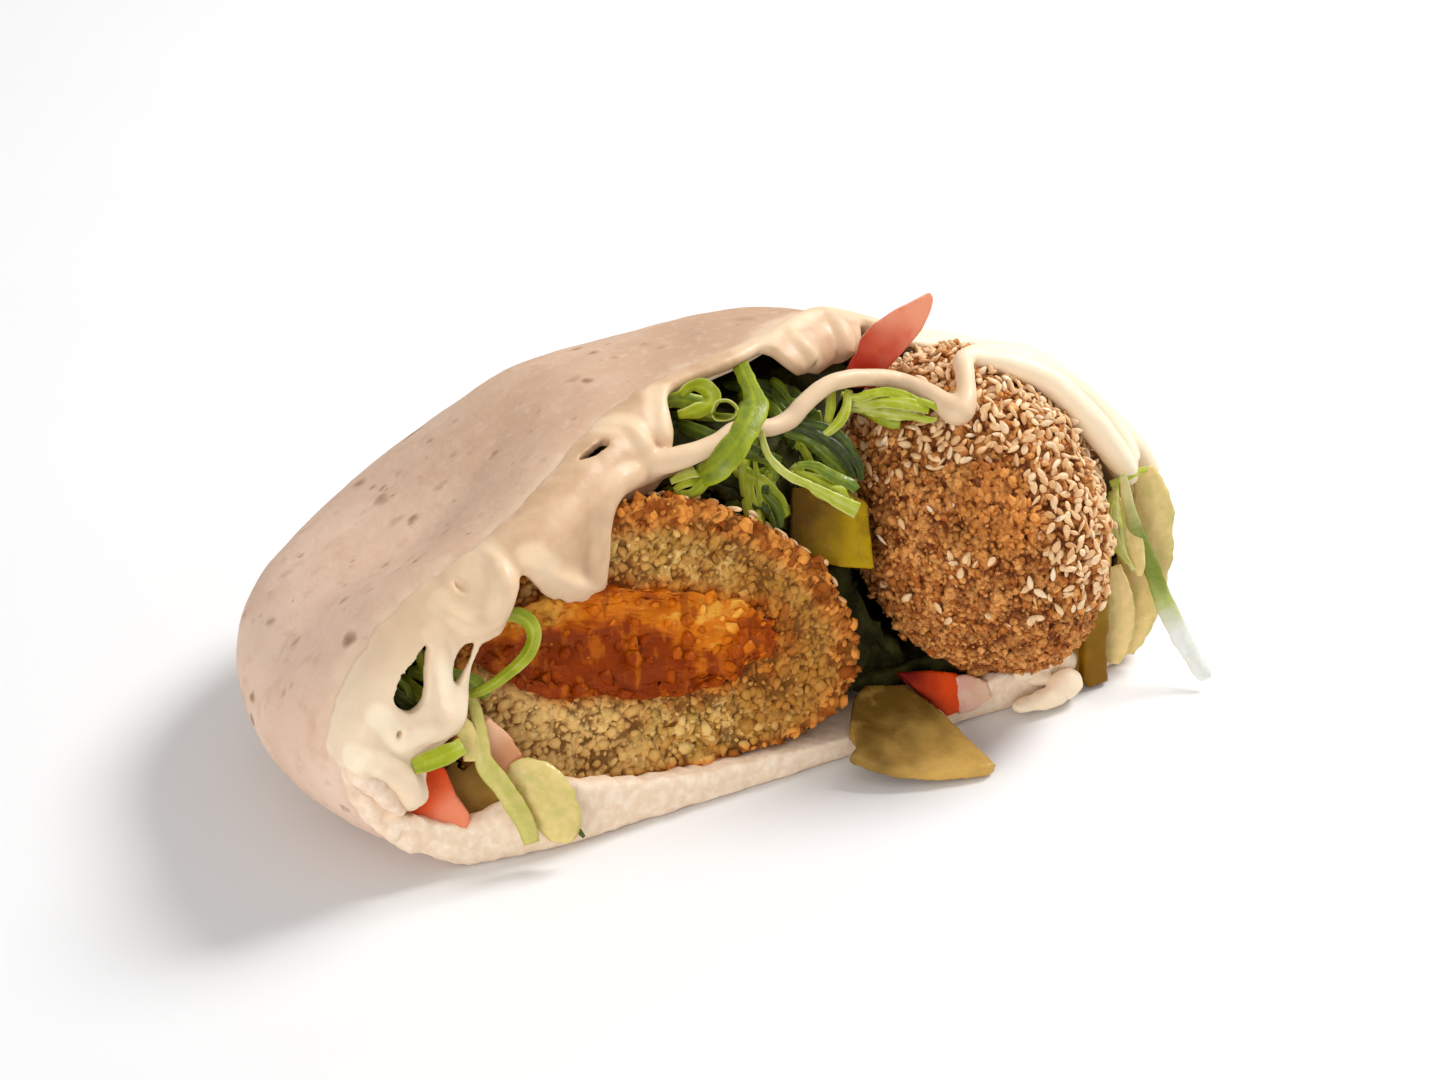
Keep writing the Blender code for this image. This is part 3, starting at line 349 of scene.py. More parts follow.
def rough(points, size, octaves=3, salt=0, gain=0.5):
    """Noise of several sizes, each half as large as the one before."""
    total, weight, scale = np.zeros(len(points)), 1.0, 1.0 / size
    for octave in range(octaves):
        total += weight * gradient_noise(points * scale + 11.3 * octave, salt + octave)
        weight *= gain
        scale *= 2
    return total


def cells_of(points, size, salt):
    """The distances, in cells, to the nearest two of many dots, and the nearest one's number."""
    scaled = points / size
    base = np.floor(scaled)
    first = np.full(len(points), 9.0)
    second = np.full(len(points), 9.0)
    owner = np.zeros(len(points))
    for step in itertools.product((-1, 0, 1), repeat=3):
        cell = base + np.array(step)
        gap = np.linalg.norm(scaled - cell - hashed_vectors(cell, salt), axis=1)
        closer = gap < first
        second = np.where(closer, first, np.minimum(second, gap))
        owner = np.where(closer, hashed(cell, salt + 7), owner)
        first = np.where(closer, gap, first)
    return first, second, owner


def ease(values, low, high):
    """0 below low, 1 above high, and a smooth step between. low may be the higher one."""
    share = np.clip((values - low) / (high - low), 0, 1)
    return share * share * (3 - 2 * share)


def bell(values, middle, width):
    """1 at the middle, falling to nearly 0 about two widths away."""
    return np.exp(-(((values - middle) / width) ** 2))


def unit(vectors):
    """The vectors at length 1."""
    return vectors / np.maximum(np.linalg.norm(vectors, axis=-1, keepdims=True), 1e-9)


def turned(points, axis, angle):
    """The points turned about an axis through the origin."""
    matrix = np.array(Matrix.Rotation(angle, 3, axis))
    return points @ matrix.T


def through(knots, count):
    """Rows spaced evenly along the smooth curve through the knots, which may have any columns."""
    knots = np.array(knots, float)
    padded = np.vstack([2 * knots[0] - knots[1], knots, 2 * knots[-1] - knots[-2]])
    spans = np.linalg.norm(np.diff(knots[:, :3], axis=0), axis=1)
    marks = np.concatenate([[0], np.cumsum(spans)])
    along = np.interp(np.linspace(0, marks[-1], count), marks, np.arange(len(marks)))
    index = np.minimum(along.astype(int), len(knots) - 2)
    t = (along - index)[:, None]
    a, b, c, d = (padded[index + k] for k in range(4))
    return 0.5 * (
        2 * b + (c - a) * t + (2 * a - 5 * b + 4 * c - d) * t**2 + (3 * b - a - 3 * c + d) * t**3
    )


# ---------------------------------------------------------------- meshes


class Shell:
    """A closed skin: points in mm and faces of three or four corners."""

    def __init__(self, points, faces):
        self.points = np.array(points, float)
        self.faces = [tuple(face) for face in faces]

    def normals(self):
        """The direction out of the skin at each point."""
        quads = np.array([(*face, face[-1]) if len(face) == 3 else face for face in self.faces])
        corners = self.points[quads]
        across = np.cross(corners[:, 2] - corners[:, 0], corners[:, 3] - corners[:, 1])
        total = np.zeros_like(self.points)
        for column in range(4):
            np.add.at(total, quads[:, column], across)
        return unit(total)

    def smooth(self, times):
        """Evens the skin out, with a push back after each step so that it hardly shrinks."""
        edges = np.array([pair for face in self.faces for pair in zip(face, face[1:] + face[:1])])
        edges = np.unique(np.sort(edges, axis=1), axis=0)
        count = np.zeros(len(self.points))
        for side in (0, 1):
            np.add.at(count, edges[:, side], 1)
        for _ in range(times):
            for step in (0.5, -0.52):
                total = np.zeros_like(self.points)
                np.add.at(total, edges[:, 0], self.points[edges[:, 1]])
                np.add.at(total, edges[:, 1], self.points[edges[:, 0]])
                mean = total / np.maximum(count, 1)[:, None]
                self.points += step * (mean - self.points)
        return self

    def push(self, heights):
        """Moves each point out of the skin by its height."""
        self.points += self.normals() * np.asarray(heights)[:, None]
        return self


def joined(shells):
    """All the shells as one, without fusing them."""
    points, faces, start = [], [], 0
    for shell in shells:
        points.append(shell.points)
        faces += [tuple(corner + start for corner in face) for face in shell.faces]
        start += len(shell.points)
    return Shell(np.vstack(points), faces)


def raw_object(shell):
    """A Blender object of the shell, in mm, for a modifier to work on."""
    mesh = bpy.data.meshes.new("raw")
    mesh.from_pydata(shell.points.tolist(), [], shell.faces)
    made = bpy.data.objects.new("raw", mesh)
    bpy.context.scene.collection.objects.link(made)
    return made


def shell_of(obj):
    """The object's mesh, modifiers included, as a Shell. The object is removed."""
    graph = bpy.context.evaluated_depsgraph_get()
    mesh = bpy.data.meshes.new_from_object(obj.evaluated_get(graph))
    points = np.zeros(len(mesh.vertices) * 3)
    mesh.vertices.foreach_get("co", points)
    faces = [tuple(polygon.vertices) for polygon in mesh.polygons]
    old = obj.data
    bpy.data.objects.remove(obj)
    bpy.data.meshes.remove(old)
    bpy.data.meshes.remove(mesh)
    return Shell(points.reshape(-1, 3), faces)


def fused(shells, voxel):
    """One skin round all the shells, by voxels of that size in mm."""
    obj = raw_object(joined(shells))
    remesh = obj.modifiers.new("remesh", "REMESH")
    remesh.mode = "VOXEL"
    remesh.voxel_size = voxel
    return shell_of(obj)


def without(shell, cutters):
    """The shell with the cutter shells' space taken away."""
    obj = raw_object(shell)
    others = [raw_object(cutter) for cutter in cutters]
    for other in others:
        cut = obj.modifiers.new("cut", "BOOLEAN")
        cut.operation = "DIFFERENCE"
        cut.solver = "MANIFOLD"
        cut.object = other
    bpy.context.view_layer.update()
    made = shell_of(obj)
    for other in others:
        bpy.data.objects.remove(other)
    return made


def node_shell(name):
    """A CAD node's mesh, welded, in mm."""
    bm = bmesh.new()
    bm.from_mesh(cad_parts[name].data)
    bmesh.ops.remove_doubles(bm, verts=bm.verts, dist=0.00002)
    points = [np.array(vertex.co) / MM for vertex in bm.verts]
    bm.verts.index_update()
    faces = [tuple(vertex.index for vertex in face.verts) for face in bm.faces]
    bm.free()
    return Shell(points, faces)


def ball(steps):
    """A unit sphere of nearly equal triangles."""
    bm = bmesh.new()
    bmesh.ops.create_icosphere(bm, subdivisions=steps, radius=1)
    points = [np.array(vertex.co) for vertex in bm.verts]
    faces = [tuple(vertex.index for vertex in face.verts) for face in bm.faces]
    bm.free()
    return Shell(unit(np.array(points)), faces)


def grid_faces(rows, columns, wrap=False):
    """Faces of a grid whose point (row, column) is number row * columns + column."""
    faces = []
    last = columns if wrap else columns - 1
    for row in range(rows - 1):
        for column in range(last):
            right = (column + 1) % columns
            faces.append(
                (row * columns + column, row * columns + right,
                 (row + 1) * columns + right, (row + 1) * columns + column)
            )  # fmt: skip
    return faces


def sheet_shell(grid, thickness):
    """A closed thin body round a grid of points: thickness is a number or an array per point."""
    rows, columns, _ = grid.shape
    down = np.gradient(grid, axis=0)
    right = np.gradient(grid, axis=1)
    normal = unit(np.cross(down, right))
    half = np.broadcast_to(np.asarray(thickness, float) / 2, (rows, columns))[..., None]
    front = (grid + normal * half).reshape(-1, 3)
    back = (grid - normal * half).reshape(-1, 3)
    faces = [face[::-1] for face in grid_faces(rows, columns)]
    start = rows * columns
    faces += [tuple(corner + start for corner in face[::-1]) for face in faces]
    rim = list(range(columns))
    rim += [row * columns + columns - 1 for row in range(1, rows)]
    rim += [(rows - 1) * columns + column for column in range(columns - 2, -1, -1)]
    rim += [row * columns for row in range(rows - 2, 0, -1)]
    for one, two in zip(rim, rim[1:] + rim[:1]):
        faces.append((one, two, two + start, one + start))
    return Shell(np.vstack([front, back]), faces)


def outward(outline):
    """The mean normal of a ring of points, on the side that faces out of the mouth."""
    arms = outline - outline.mean(0)
    normal = unit(np.cross(arms, np.roll(arms, -1, axis=0)).sum(0))
    return normal * np.sign(normal @ OUT_OF_MOUTH)


def prism(one, two):
    """A closed body between two outlines of as many points."""
    count = len(one)
    faces = [tuple(range(count)), tuple(range(2 * count - 1, count - 1, -1))]
    for step in range(count):
        after = (step + 1) % count
        faces.append((after, step, count + step, count + after))
    return Shell(np.vstack([one, two]), faces)


def tube_shell(knots, count, sides=16):
    """A round strand through knots of (x, y, z, half-thickness), closed with round ends."""
    rows = through(knots, count)
    centre, radius = rows[:, :3], rows[:, 3]
    along = unit(np.gradient(centre, axis=0))
    side = unit(np.cross(along[0], (0.3, 0.2, 0.93)))
    points = []
    for place, heading, thick in zip(centre, along, radius):
        side = unit(side - heading * (side @ heading))
        other = np.cross(heading, side)
        for step in range(sides):
            turn = 2 * math.pi * step / sides
            points.append(place + thick * (math.cos(turn) * side + math.sin(turn) * other))
    faces = grid_faces(count, sides, wrap=True)
    points.append(centre[0] - along[0] * radius[0] * 0.7)
    points.append(centre[-1] + along[-1] * radius[-1] * 0.7)
    first, last = count * sides, count * sides + 1
    for step in range(sides):
        right = (step + 1) % sides
        faces.append((first, right, step))
        end = (count - 1) * sides
        faces.append((last, end + step, end + right))
    return Shell(points, faces)


def add_piece(name, shell, paint, marks=None, replaced=()):
    """A piece of the object, in metres, with its material, body and the nodes it stands for."""
    mesh = bpy.data.meshes.new(name)
    mesh.from_pydata((shell.points * MM).tolist(), [], shell.faces)
    mesh.shade_smooth()
    for label, values in (marks or {}).items():
        attribute = mesh.attributes.new(label, "FLOAT", "POINT")
        attribute.data.foreach_set("value", np.asarray(values, np.float32))
    mesh.materials.append(paint)
    made = bpy.data.objects.new(name, mesh)
    bpy.context.scene.collection.objects.link(made)
    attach(made, "root")
    if replaced:
        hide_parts(*replaced)


# ---------------------------------------------------------------- materials


class Paint:
    """A Principled material. Each call adds one node and gives back its output."""

    def __init__(self, name, roughness, **sockets):
        self.material = bpy.data.materials.new(name)
        self.material.use_nodes = True
        self.tree = self.material.node_tree
        self.shader = self.tree.nodes["Principled BSDF"]
        self.shader.inputs["Roughness"].default_value = roughness
        for socket, value in sockets.items():
            self.shader.inputs[socket.replace("_", " ")].default_value = value
        self.place = self.tree.nodes.new("ShaderNodeTexCoord").outputs["Object"]

    def put(self, value, socket):
        """Sets an input to a value, or joins a node's output to it."""
        if isinstance(value, bpy.types.NodeSocket):
            self.tree.links.new(value, socket)
        elif isinstance(value, tuple) and len(value) == 3 and socket.type == "RGBA":
            socket.default_value = (*value, 1)
        else:
            socket.default_value = value

    def mark(self, label):
        """A piece's own number at each point, by its label."""
        node = self.tree.nodes.new("ShaderNodeAttribute")
        node.attribute_name = label
        return node.outputs["Fac"]

    def noise(self, size, detail=3, stretch=(1, 1, 1), shift=0.0):
        """Noise with features of that size in mm."""
        node = self.tree.nodes.new("ShaderNodeTexNoise")
        node.inputs["Scale"].default_value = 1 / (size * MM)
        node.inputs["Detail"].default_value = detail
        node.inputs["Roughness"].default_value = NOISE_ROUGHNESS
        mapping = self.tree.nodes.new("ShaderNodeMapping")
        mapping.inputs["Location"].default_value = (shift, shift, shift)
        mapping.inputs["Scale"].default_value = stretch
        self.tree.links.new(self.place, mapping.inputs["Vector"])
        self.tree.links.new(mapping.outputs["Vector"], node.inputs["Vector"])
        return node.outputs["Fac"]

    def cells(self, size, output="Distance", shift=0.0, warp=0.0):
        """Scattered cells of that size in mm. warp bends their outlines."""
        node = self.tree.nodes.new("ShaderNodeTexVoronoi")
        node.inputs["Scale"].default_value = 1 / (size * MM)
        mapping = self.tree.nodes.new("ShaderNodeMapping")
        mapping.inputs["Location"].default_value = (shift, shift, shift)
        self.tree.links.new(self.place, mapping.inputs["Vector"])
        vector = mapping.outputs["Vector"]
        if warp:
            bend = self.tree.nodes.new("ShaderNodeTexNoise")
            bend.inputs["Scale"].default_value = 2.5 / (size * MM)
            add = self.tree.nodes.new("ShaderNodeVectorMath")
            add.operation = "MULTIPLY_ADD"
            self.tree.links.new(vector, bend.inputs["Vector"])
            self.tree.links.new(bend.outputs["Color"], add.inputs[0])
            add.inputs[1].default_value = (warp * size * MM,) * 3
            self.tree.links.new(vector, add.inputs[2])
            vector = add.outputs["Vector"]
        self.tree.links.new(vector, node.inputs["Vector"])
        return node.outputs[output]

    def coordinate(self, axis):
        """The place along an axis, in metres."""
        node = self.tree.nodes.new("ShaderNodeSeparateXYZ")
        self.tree.links.new(self.place, node.inputs["Vector"])
        return node.outputs[axis]

    def ramp(self, value, low, high, first=0.0, last=1.0, smooth=True):
        """A number that goes from first to last as the value goes from low to high."""
        node = self.tree.nodes.new("ShaderNodeMapRange")
        node.interpolation_type = "SMOOTHSTEP" if smooth else "LINEAR"
        self.put(value, node.inputs["Value"])
        settings = (("From Min", low), ("From Max", high), ("To Min", first), ("To Max", last))
        for socket, setting in settings:
            node.inputs[socket].default_value = setting
        return node.outputs["Result"]

    def maths(self, operation, one, two=0.0):
        node = self.tree.nodes.new("ShaderNodeMath")
        node.operation = operation
        self.put(one, node.inputs[0])
        self.put(two, node.inputs[1])
        return node.outputs["Value"]

    def mix(self, share, one, two):
        """A colour between two: share 0 is the first and 1 the second."""
        node = self.tree.nodes.new("ShaderNodeMix")
        node.data_type = "RGBA"
        self.put(share, node.inputs["Factor"])
        sockets = [socket for socket in node.inputs if socket.type == "RGBA"]
        self.put(one, sockets[0])
        self.put(two, sockets[1])
        return next(socket for socket in node.outputs if socket.type == "RGBA")

    def fade(self, value, low, high, one, two, most=1.0):
        """Shade one, which turns to shade two, or part of the way, as the value rises."""
        return self.mix(self.ramp(value, low, high, 0, most), one, two)

    def uneven(self, size, detail, low, high):
        """A number that wanders from low to high in patches of that size in mm."""
        return self.ramp(self.noise(size, detail), 0.3, 0.7, low, high)

    def split(self, colour):
        """The red share of a colour output, as a number."""
        node = self.tree.nodes.new("ShaderNodeSeparateColor")
        self.put(colour, node.inputs["Color"])
        return node.outputs["Red"]

    def finish(self, colour, roughness=None, bumps=()):
        """Joins the outputs to the shader. bumps are pairs of a height and its depth in mm."""
        self.put(colour, self.shader.inputs["Base Color"])
        if roughness is not None:
            self.put(roughness, self.shader.inputs["Roughness"])
        normal = None
        for height, depth in bumps:
            node = self.tree.nodes.new("ShaderNodeBump")
            node.inputs["Distance"].default_value = depth * MM
            self.put(height, node.inputs["Height"])
            if normal is not None:
                self.tree.links.new(normal, node.inputs["Normal"])
            normal = node.outputs["Normal"]
        if normal is not None:
            self.tree.links.new(normal, self.shader.inputs["Normal"])
        return self.material


# The bread's brown specks: spacing in mm, shift, radius as a share of the spacing, strength.
SPECKS = (
    (13.0, 0.3, 0.11, 0.9), (8.0, 0.1, 0.13, 0.8), (5.2, 0.6, 0.14, 0.6), (3.4, 0.9, 0.13, 0.4),
)  # fmt: skip


def bread_paint():
    """Baked bread: browner on the crown, painted paler low down as painted light on its lower
    sides, with brown specks.
    """
    paint = Paint("bread", 0.75, Specular_IOR_Level=0.2)
    # Painted light: below the crown the bread takes paler shades, standing in for light on its
    # lower sides, which the lamps light less than its top.
    low = paint.ramp(paint.coordinate("Z"), 0.052, 0.022)
    top = paint.fade(paint.noise(20, 2), 0.35, 0.65, (0.63, 0.41, 0.275), (0.69, 0.47, 0.325))
    patches = paint.noise(16, 2, shift=0.4)
    rim = paint.fade(patches, 0.35, 0.65, (0.75, 0.52, 0.39), (0.81, 0.59, 0.45))
    colour = paint.mix(low, top, rim)
    slant = paint.maths("MULTIPLY", paint.coordinate("X"), 0.25)
    crown = paint.maths("ADD", paint.coordinate("Z"), slant)
    colour = paint.fade(crown, 0.051, 0.061, colour, (0.52, 0.32, 0.20), 0.65)
    blush, pale = paint.noise(5, 3, shift=0.3), paint.noise(2.4, 4, shift=0.7)
    colour = paint.fade(blush, 0.52, 0.70, colour, (0.60, 0.36, 0.235), 0.45)
    colour = paint.fade(pale, 0.5, 0.75, colour, (0.80, 0.61, 0.46), 0.35)
    for size, shift, radius, share in SPECKS:
        gap = paint.cells(size, shift=shift, warp=0.35)
        spot = paint.ramp(gap, radius * 0.3, radius * 1.6, 1, 0)
        number = paint.split(paint.cells(size, "Color", shift=shift, warp=0.35))
        chosen = paint.ramp(number, 0.35, 0.8)
        strength = paint.maths("MULTIPLY", paint.maths("MULTIPLY", spot, chosen), share)
        colour = paint.mix(strength, colour, (0.28, 0.135, 0.06))
    crumb = paint.fade(paint.noise(1.6, 4), 0.35, 0.7, (0.86, 0.65, 0.46), (0.96, 0.80, 0.62))
    colour = paint.fade(paint.mark("cream"), 0, 1, colour, (0.80, 0.60, 0.42), 0.75)
    colour = paint.mix(paint.mark("inside"), colour, crumb)
    return paint.finish(
        colour,
        paint.uneven(2.2, 4, 0.62, 0.85),
        ((paint.noise(1.1, 4), 0.10), (paint.noise(5, 3), 0.3)),
    )


def sauce_paint(marked=True):
    """Tahini. On the big flow the mark light is painted light, and the marks thick and film say how
    thick it is; the tan that thick gives the sauce between the runs is painted shade.
    """
    paint = Paint("tahini", 0.4, Specular_IOR_Level=0.35, Subsurface_Weight=0.15)
    paint.shader.inputs["Subsurface Radius"].default_value = (1.0, 0.6, 0.3)
    paint.shader.inputs["Subsurface Scale"].default_value = 0.002
    shade = paint.uneven(9, 2, 0, 0.6)
    if not marked:
        colour = paint.mix(shade, (0.91, 0.72, 0.51), (0.97, 0.82, 0.62))
    else:
        colour = paint.mix(shade, (0.79, 0.57, 0.36), (0.86, 0.655, 0.44))
        # Painted light: where the mark light is high, on the right and at the lower left, the sauce
        # is painted paler.
        colour = paint.fade(paint.mark("light"), 0, 1, colour, (0.98, 0.81, 0.59))
        # Painted shade: away from the thick runs the sauce is tan, darker than the sauce or the
        # bread.
        tan = paint.fade(paint.noise(5, 3), 0.3, 0.7, (0.60, 0.38, 0.22), (0.70, 0.47, 0.29))
        colour = paint.fade(paint.mark("thick"), 0, 1, tan, colour)
        colour = paint.fade(paint.mark("film"), 0, 1, colour, (0.72, 0.50, 0.36), 0.85)
    fleck = paint.ramp(paint.cells(3.2, warp=0.3), 0.02, 0.08, 0.3, 0)
    chosen = paint.ramp(paint.split(paint.cells(3.2, "Color", warp=0.3)), 0.7, 0.9)
    colour = paint.mix(paint.maths("MULTIPLY", fleck, chosen), colour, (0.45, 0.27, 0.12))
    return paint.finish(
        colour,
        paint.uneven(3, 3, 0.38, 0.6),
        ((paint.noise(0.9, 3), 0.03), (paint.noise(4, 2), 0.15)),
    )


def crust_paint(name, light, dark, deep):
    """Fried crust: the mark tone picks a crumb's shade; painted shade, from a second mark and from
    the pores, darkens its creases and pores.
    """
    paint = Paint(name, 0.7, Specular_IOR_Level=0.2)
    shade = paint.fade(paint.mark("tone"), 0.1, 0.9, dark, light)
    shade = paint.fade(paint.noise(1.0, 4), 0.45, 0.65, shade, light, 0.6)
    shade = paint.fade(paint.noise(0.8, 4, shift=0.6), 0.52, 0.64, shade, dark, 0.7)
    shade = paint.fade(paint.noise(9, 2), 0.45, 0.65, shade, dark, 0.45)
    shade = paint.fade(paint.mark("bare"), 0, 1, shade, (0.90, 0.35, 0.07), 0.6)
    # Painted shade: pores, mostly in the bare patch, and the creases in the shade mark take the
    # deep colour.
    pore = paint.ramp(paint.cells(1.7, shift=0.2, warp=0.6), 0.14, 0.3, 0.9, 0)
    pore = paint.maths("MULTIPLY", pore, paint.ramp(paint.mark("bare"), 0, 1, 0.35, 1))
    colour = paint.mix(paint.maths("MAXIMUM", pore, paint.mark("pit")), shade, deep)
    return paint.finish(
        colour,
        paint.uneven(1.5, 3, 0.5, 0.8),
        ((paint.noise(0.5, 4), 0.16), (paint.noise(1.0, 4), 0.25)),
    )


def crumb_paint():
    """The cut falafel: crumb inside, crust at the rim, stained next to its filling."""
    paint = Paint("crumb", 0.7, Specular_IOR_Level=0.12)
    tone = paint.mark("tone")
    crumb = paint.fade(tone, 0.05, 0.5, (0.38, 0.155, 0.018), (0.63, 0.33, 0.062))
    crumb = paint.fade(tone, 0.55, 0.95, crumb, (0.88, 0.58, 0.20))
    crumb = paint.fade(paint.noise(3.5, 3, shift=0.2), 0.5, 0.68, crumb, (0.42, 0.29, 0.05), 0.5)
    crumb = paint.fade(paint.noise(0.8, 4), 0.35, 0.7, crumb, (0.68, 0.43, 0.15), 0.45)
    crumb = paint.fade(paint.noise(6, 3, shift=0.5), 0.5, 0.62, crumb, (0.50, 0.21, 0.035), 0.7)
    across = paint.coordinate("X")
    # Painted light: the crumb is painted paler towards its left, where the sauce above shades it.
    crumb = paint.fade(across, -0.018, -0.040, crumb, (0.97, 0.66, 0.25), 0.7)
    crumb = paint.fade(across, -0.014, 0.002, crumb, (0.46, 0.18, 0.022), 0.6)
    stain = paint.fade(tone, 0.2, 0.8, (0.34, 0.07, 0.005), (0.62, 0.22, 0.025))
    crumb = paint.mix(paint.mark("stain"), crumb, stain)
    crust = paint.fade(tone, 0.1, 0.9, (0.30, 0.070, 0.006), (0.84, 0.33, 0.06))
    colour = paint.mix(paint.mark("rim"), crumb, crust)
    # Painted shade: the crumb's creases and hollows are darkened.
    colour = paint.fade(paint.mark("pit"), 0, 1, colour, (0.18, 0.062, 0.010), 0.85)
    return paint.finish(
        colour,
        paint.uneven(1.5, 3, 0.45, 0.75),
        ((paint.noise(0.5, 4), 0.12),),
    )


def filling_paint():
    """Chilli filling: the mark tone runs from deep red to yellow orange."""
    paint = Paint("chilli", 0.35, Specular_IOR_Level=0.10)
    tone = paint.mark("tone")
    colour = paint.fade(tone, 0.0, 0.35, (0.28, 0.038, 0.001), (0.44, 0.080, 0.002))
    colour = paint.fade(tone, 0.3, 0.65, colour, (0.70, 0.185, 0.006))
    colour = paint.fade(tone, 0.7, 1.0, colour, (0.88, 0.40, 0.05))
    streak = paint.noise(2.2, 3, stretch=(1, 1, 0.28))
    colour = paint.fade(streak, 0.52, 0.66, colour, (0.68, 0.17, 0.006), 0.5)
    colour = paint.fade(streak, 0.44, 0.34, colour, (0.25, 0.032, 0.001), 0.6)
    # Painted shade: the filling's creases are darkened.
    colour = paint.mix(paint.mark("pit"), colour, (0.09, 0.011, 0.001))
    return paint.finish(
        colour,
        paint.uneven(1.8, 3, 0.2, 0.45),
        ((paint.noise(0.6, 3), 0.10), (streak, 0.4)),
    )


def seed_paint():
    """Toasted sesame: the mark tone runs from brown to cream."""
    paint = Paint("sesame", 0.45, Specular_IOR_Level=0.35)
    tone = paint.mark("tone")
    colour = paint.fade(tone, 0.0, 0.4, (0.68, 0.34, 0.12), (0.88, 0.58, 0.30))
    colour = paint.fade(tone, 0.5, 1.0, colour, (0.97, 0.79, 0.54))
    colour = paint.fade(paint.noise(0.9, 3), 0.4, 0.7, colour, (0.62, 0.34, 0.14), 0.35)
    return paint.finish(colour, paint.uneven(1.4, 2, 0.35, 0.6), ((paint.noise(0.5, 2), 0.04),))


def leaf_paint(name, shades, roughness=0.4, mottle=0.04):
    """Leaf: the mark tone runs through the shades, which are evenly spaced, with fine veins."""
    paint = Paint(name, roughness, Specular_IOR_Level=0.3)
    tone = paint.maths("ADD", paint.mark("tone"), paint.uneven(1.6, 3, -mottle, mottle))
    colour, last = shades[0], len(shades) - 1
    for step, shade in enumerate(shades[1:]):
        share = paint.ramp(tone, step / last, (step + 1) / last, smooth=False)
        colour = paint.mix(share, colour, shade)
    return paint.finish(
        colour,
        paint.uneven(2.5, 2, roughness - 0.12, roughness + 0.15),
        ((paint.noise(0.7, 3), 0.08), (paint.noise(2.5, 2), 0.25)),
    )


def core_paint():
    """The inside of the salad, painted near black as shade."""
    paint = Paint("salad_core", 0.7, Specular_IOR_Level=0.1)
    colour = paint.fade(paint.noise(4, 3), 0.35, 0.7, (0.022, 0.020, 0.005), (0.07, 0.07, 0.015))
    return paint.finish(colour, None, ((paint.noise(1.5, 3), 0.4),))


def wet_paint(name, one, two, spot):
    """Moist vegetable flesh of two mixed shades with spots of a third."""
    paint = Paint(name, 0.3, Specular_IOR_Level=0.12)
    colour = paint.fade(paint.mark("tone"), 0.1, 0.9, one, two)
    colour = paint.fade(paint.noise(5, 3), 0.5, 0.68, colour, spot, 0.6)
    return paint.finish(
        colour,
        paint.uneven(2, 2, 0.2, 0.42),
        ((paint.noise(0.9, 3), 0.07), (paint.noise(3, 2), 0.25)),
    )


# ---------------------------------------------------------------- the bread


def signed_power(values, power):
    """The values to a power, with their signs kept."""
    return np.sign(values) * np.abs(values) ** power


def bread_points(around, station, inset=0.0):
    """Points of the bread's skin. around turns about the section, station runs front to back."""
    around, station = np.broadcast_arrays(around, station)
    width_share = np.maximum(np.cos(station), 0) ** PLAN_FULLNESS
    across, rise = np.cos(around), np.sin(around)
    left, upper = across < 0, rise >= 0
    floor_roundness = np.where(left, FLOOR_ROUNDNESS_LEFT, FLOOR_ROUNDNESS_RIGHT)
    roundness = np.where(upper, CROWN_ROUNDNESS, floor_roundness)
    side = signed_power(across, 2 / roundness)
    level = signed_power(rise, 2 / roundness)
    x = (BREAD_HALF_WIDTH - inset) * width_share * side
    y = (BREAD_HALF_DEPTH - inset) * np.sin(station)
    dip = ease(x, SHOULDER_START, SHOULDER_START + 24) * ease(SHOULDER_END - x, 0, 16)
    swell = (1 + CROWN_SLANT * side * width_share) * (1 - SHOULDER_DIP * dip)
    crown = fallen(x, y, RIM_HEIGHT + (CROWN_RISE - inset) * width_share * level * swell)
    drop = (np.where(left, FLOOR_DROP_LEFT, FLOOR_DROP_RIGHT) - inset) * width_share**FLOOR_TAPER
    floor = np.maximum(RIM_HEIGHT + drop * level, inset)
    return np.stack([x, y, np.where(upper, crown, floor)], axis=-1)


def fallen(x, y, z):
    """Heights under the crown, lowered as it falls away at its left end."""
    behind = y - lip_line(np.stack([x, y, z], axis=-1))
    fall = ease(-x, FALL_START, FALL_END) * ease(behind, 2, FALL_REACH)
    return z - LEFT_FALL * fall * np.maximum(z - RIM_HEIGHT, 0)


def lip_line(points):
    """How far along Y the lip stands at each point's x and z."""
    x, z = points[..., 0], points[..., 2]
    lean = LIP_LEAN_LEFT + LIP_LEAN_MIDDLE * ease(x, -55, -5)
    lean = lean + LIP_LEAN_RIGHT * ease(x, 0, 50) * ease(z, 15, 45)
    corner = LOWER_LIP_CORNER * ease(np.abs(x), 40, 66)
    return LOWER_LIP_Y + corner + lean * np.maximum(z - LIP_BASE_HEIGHT, 0)


def lip_station(around, inset=0.0, ahead=0.0):
    """The station at which the skin meets the lip line, found step by step."""
    station = np.full(np.shape(around), -0.5)
    for _ in range(60):
        y = lip_line(bread_points(around, station, inset)) - ahead
        sine = np.clip(y / (BREAD_HALF_DEPTH - inset), -1, 1)
        station = station + 0.4 * (np.arcsin(sine) - station)
    return station


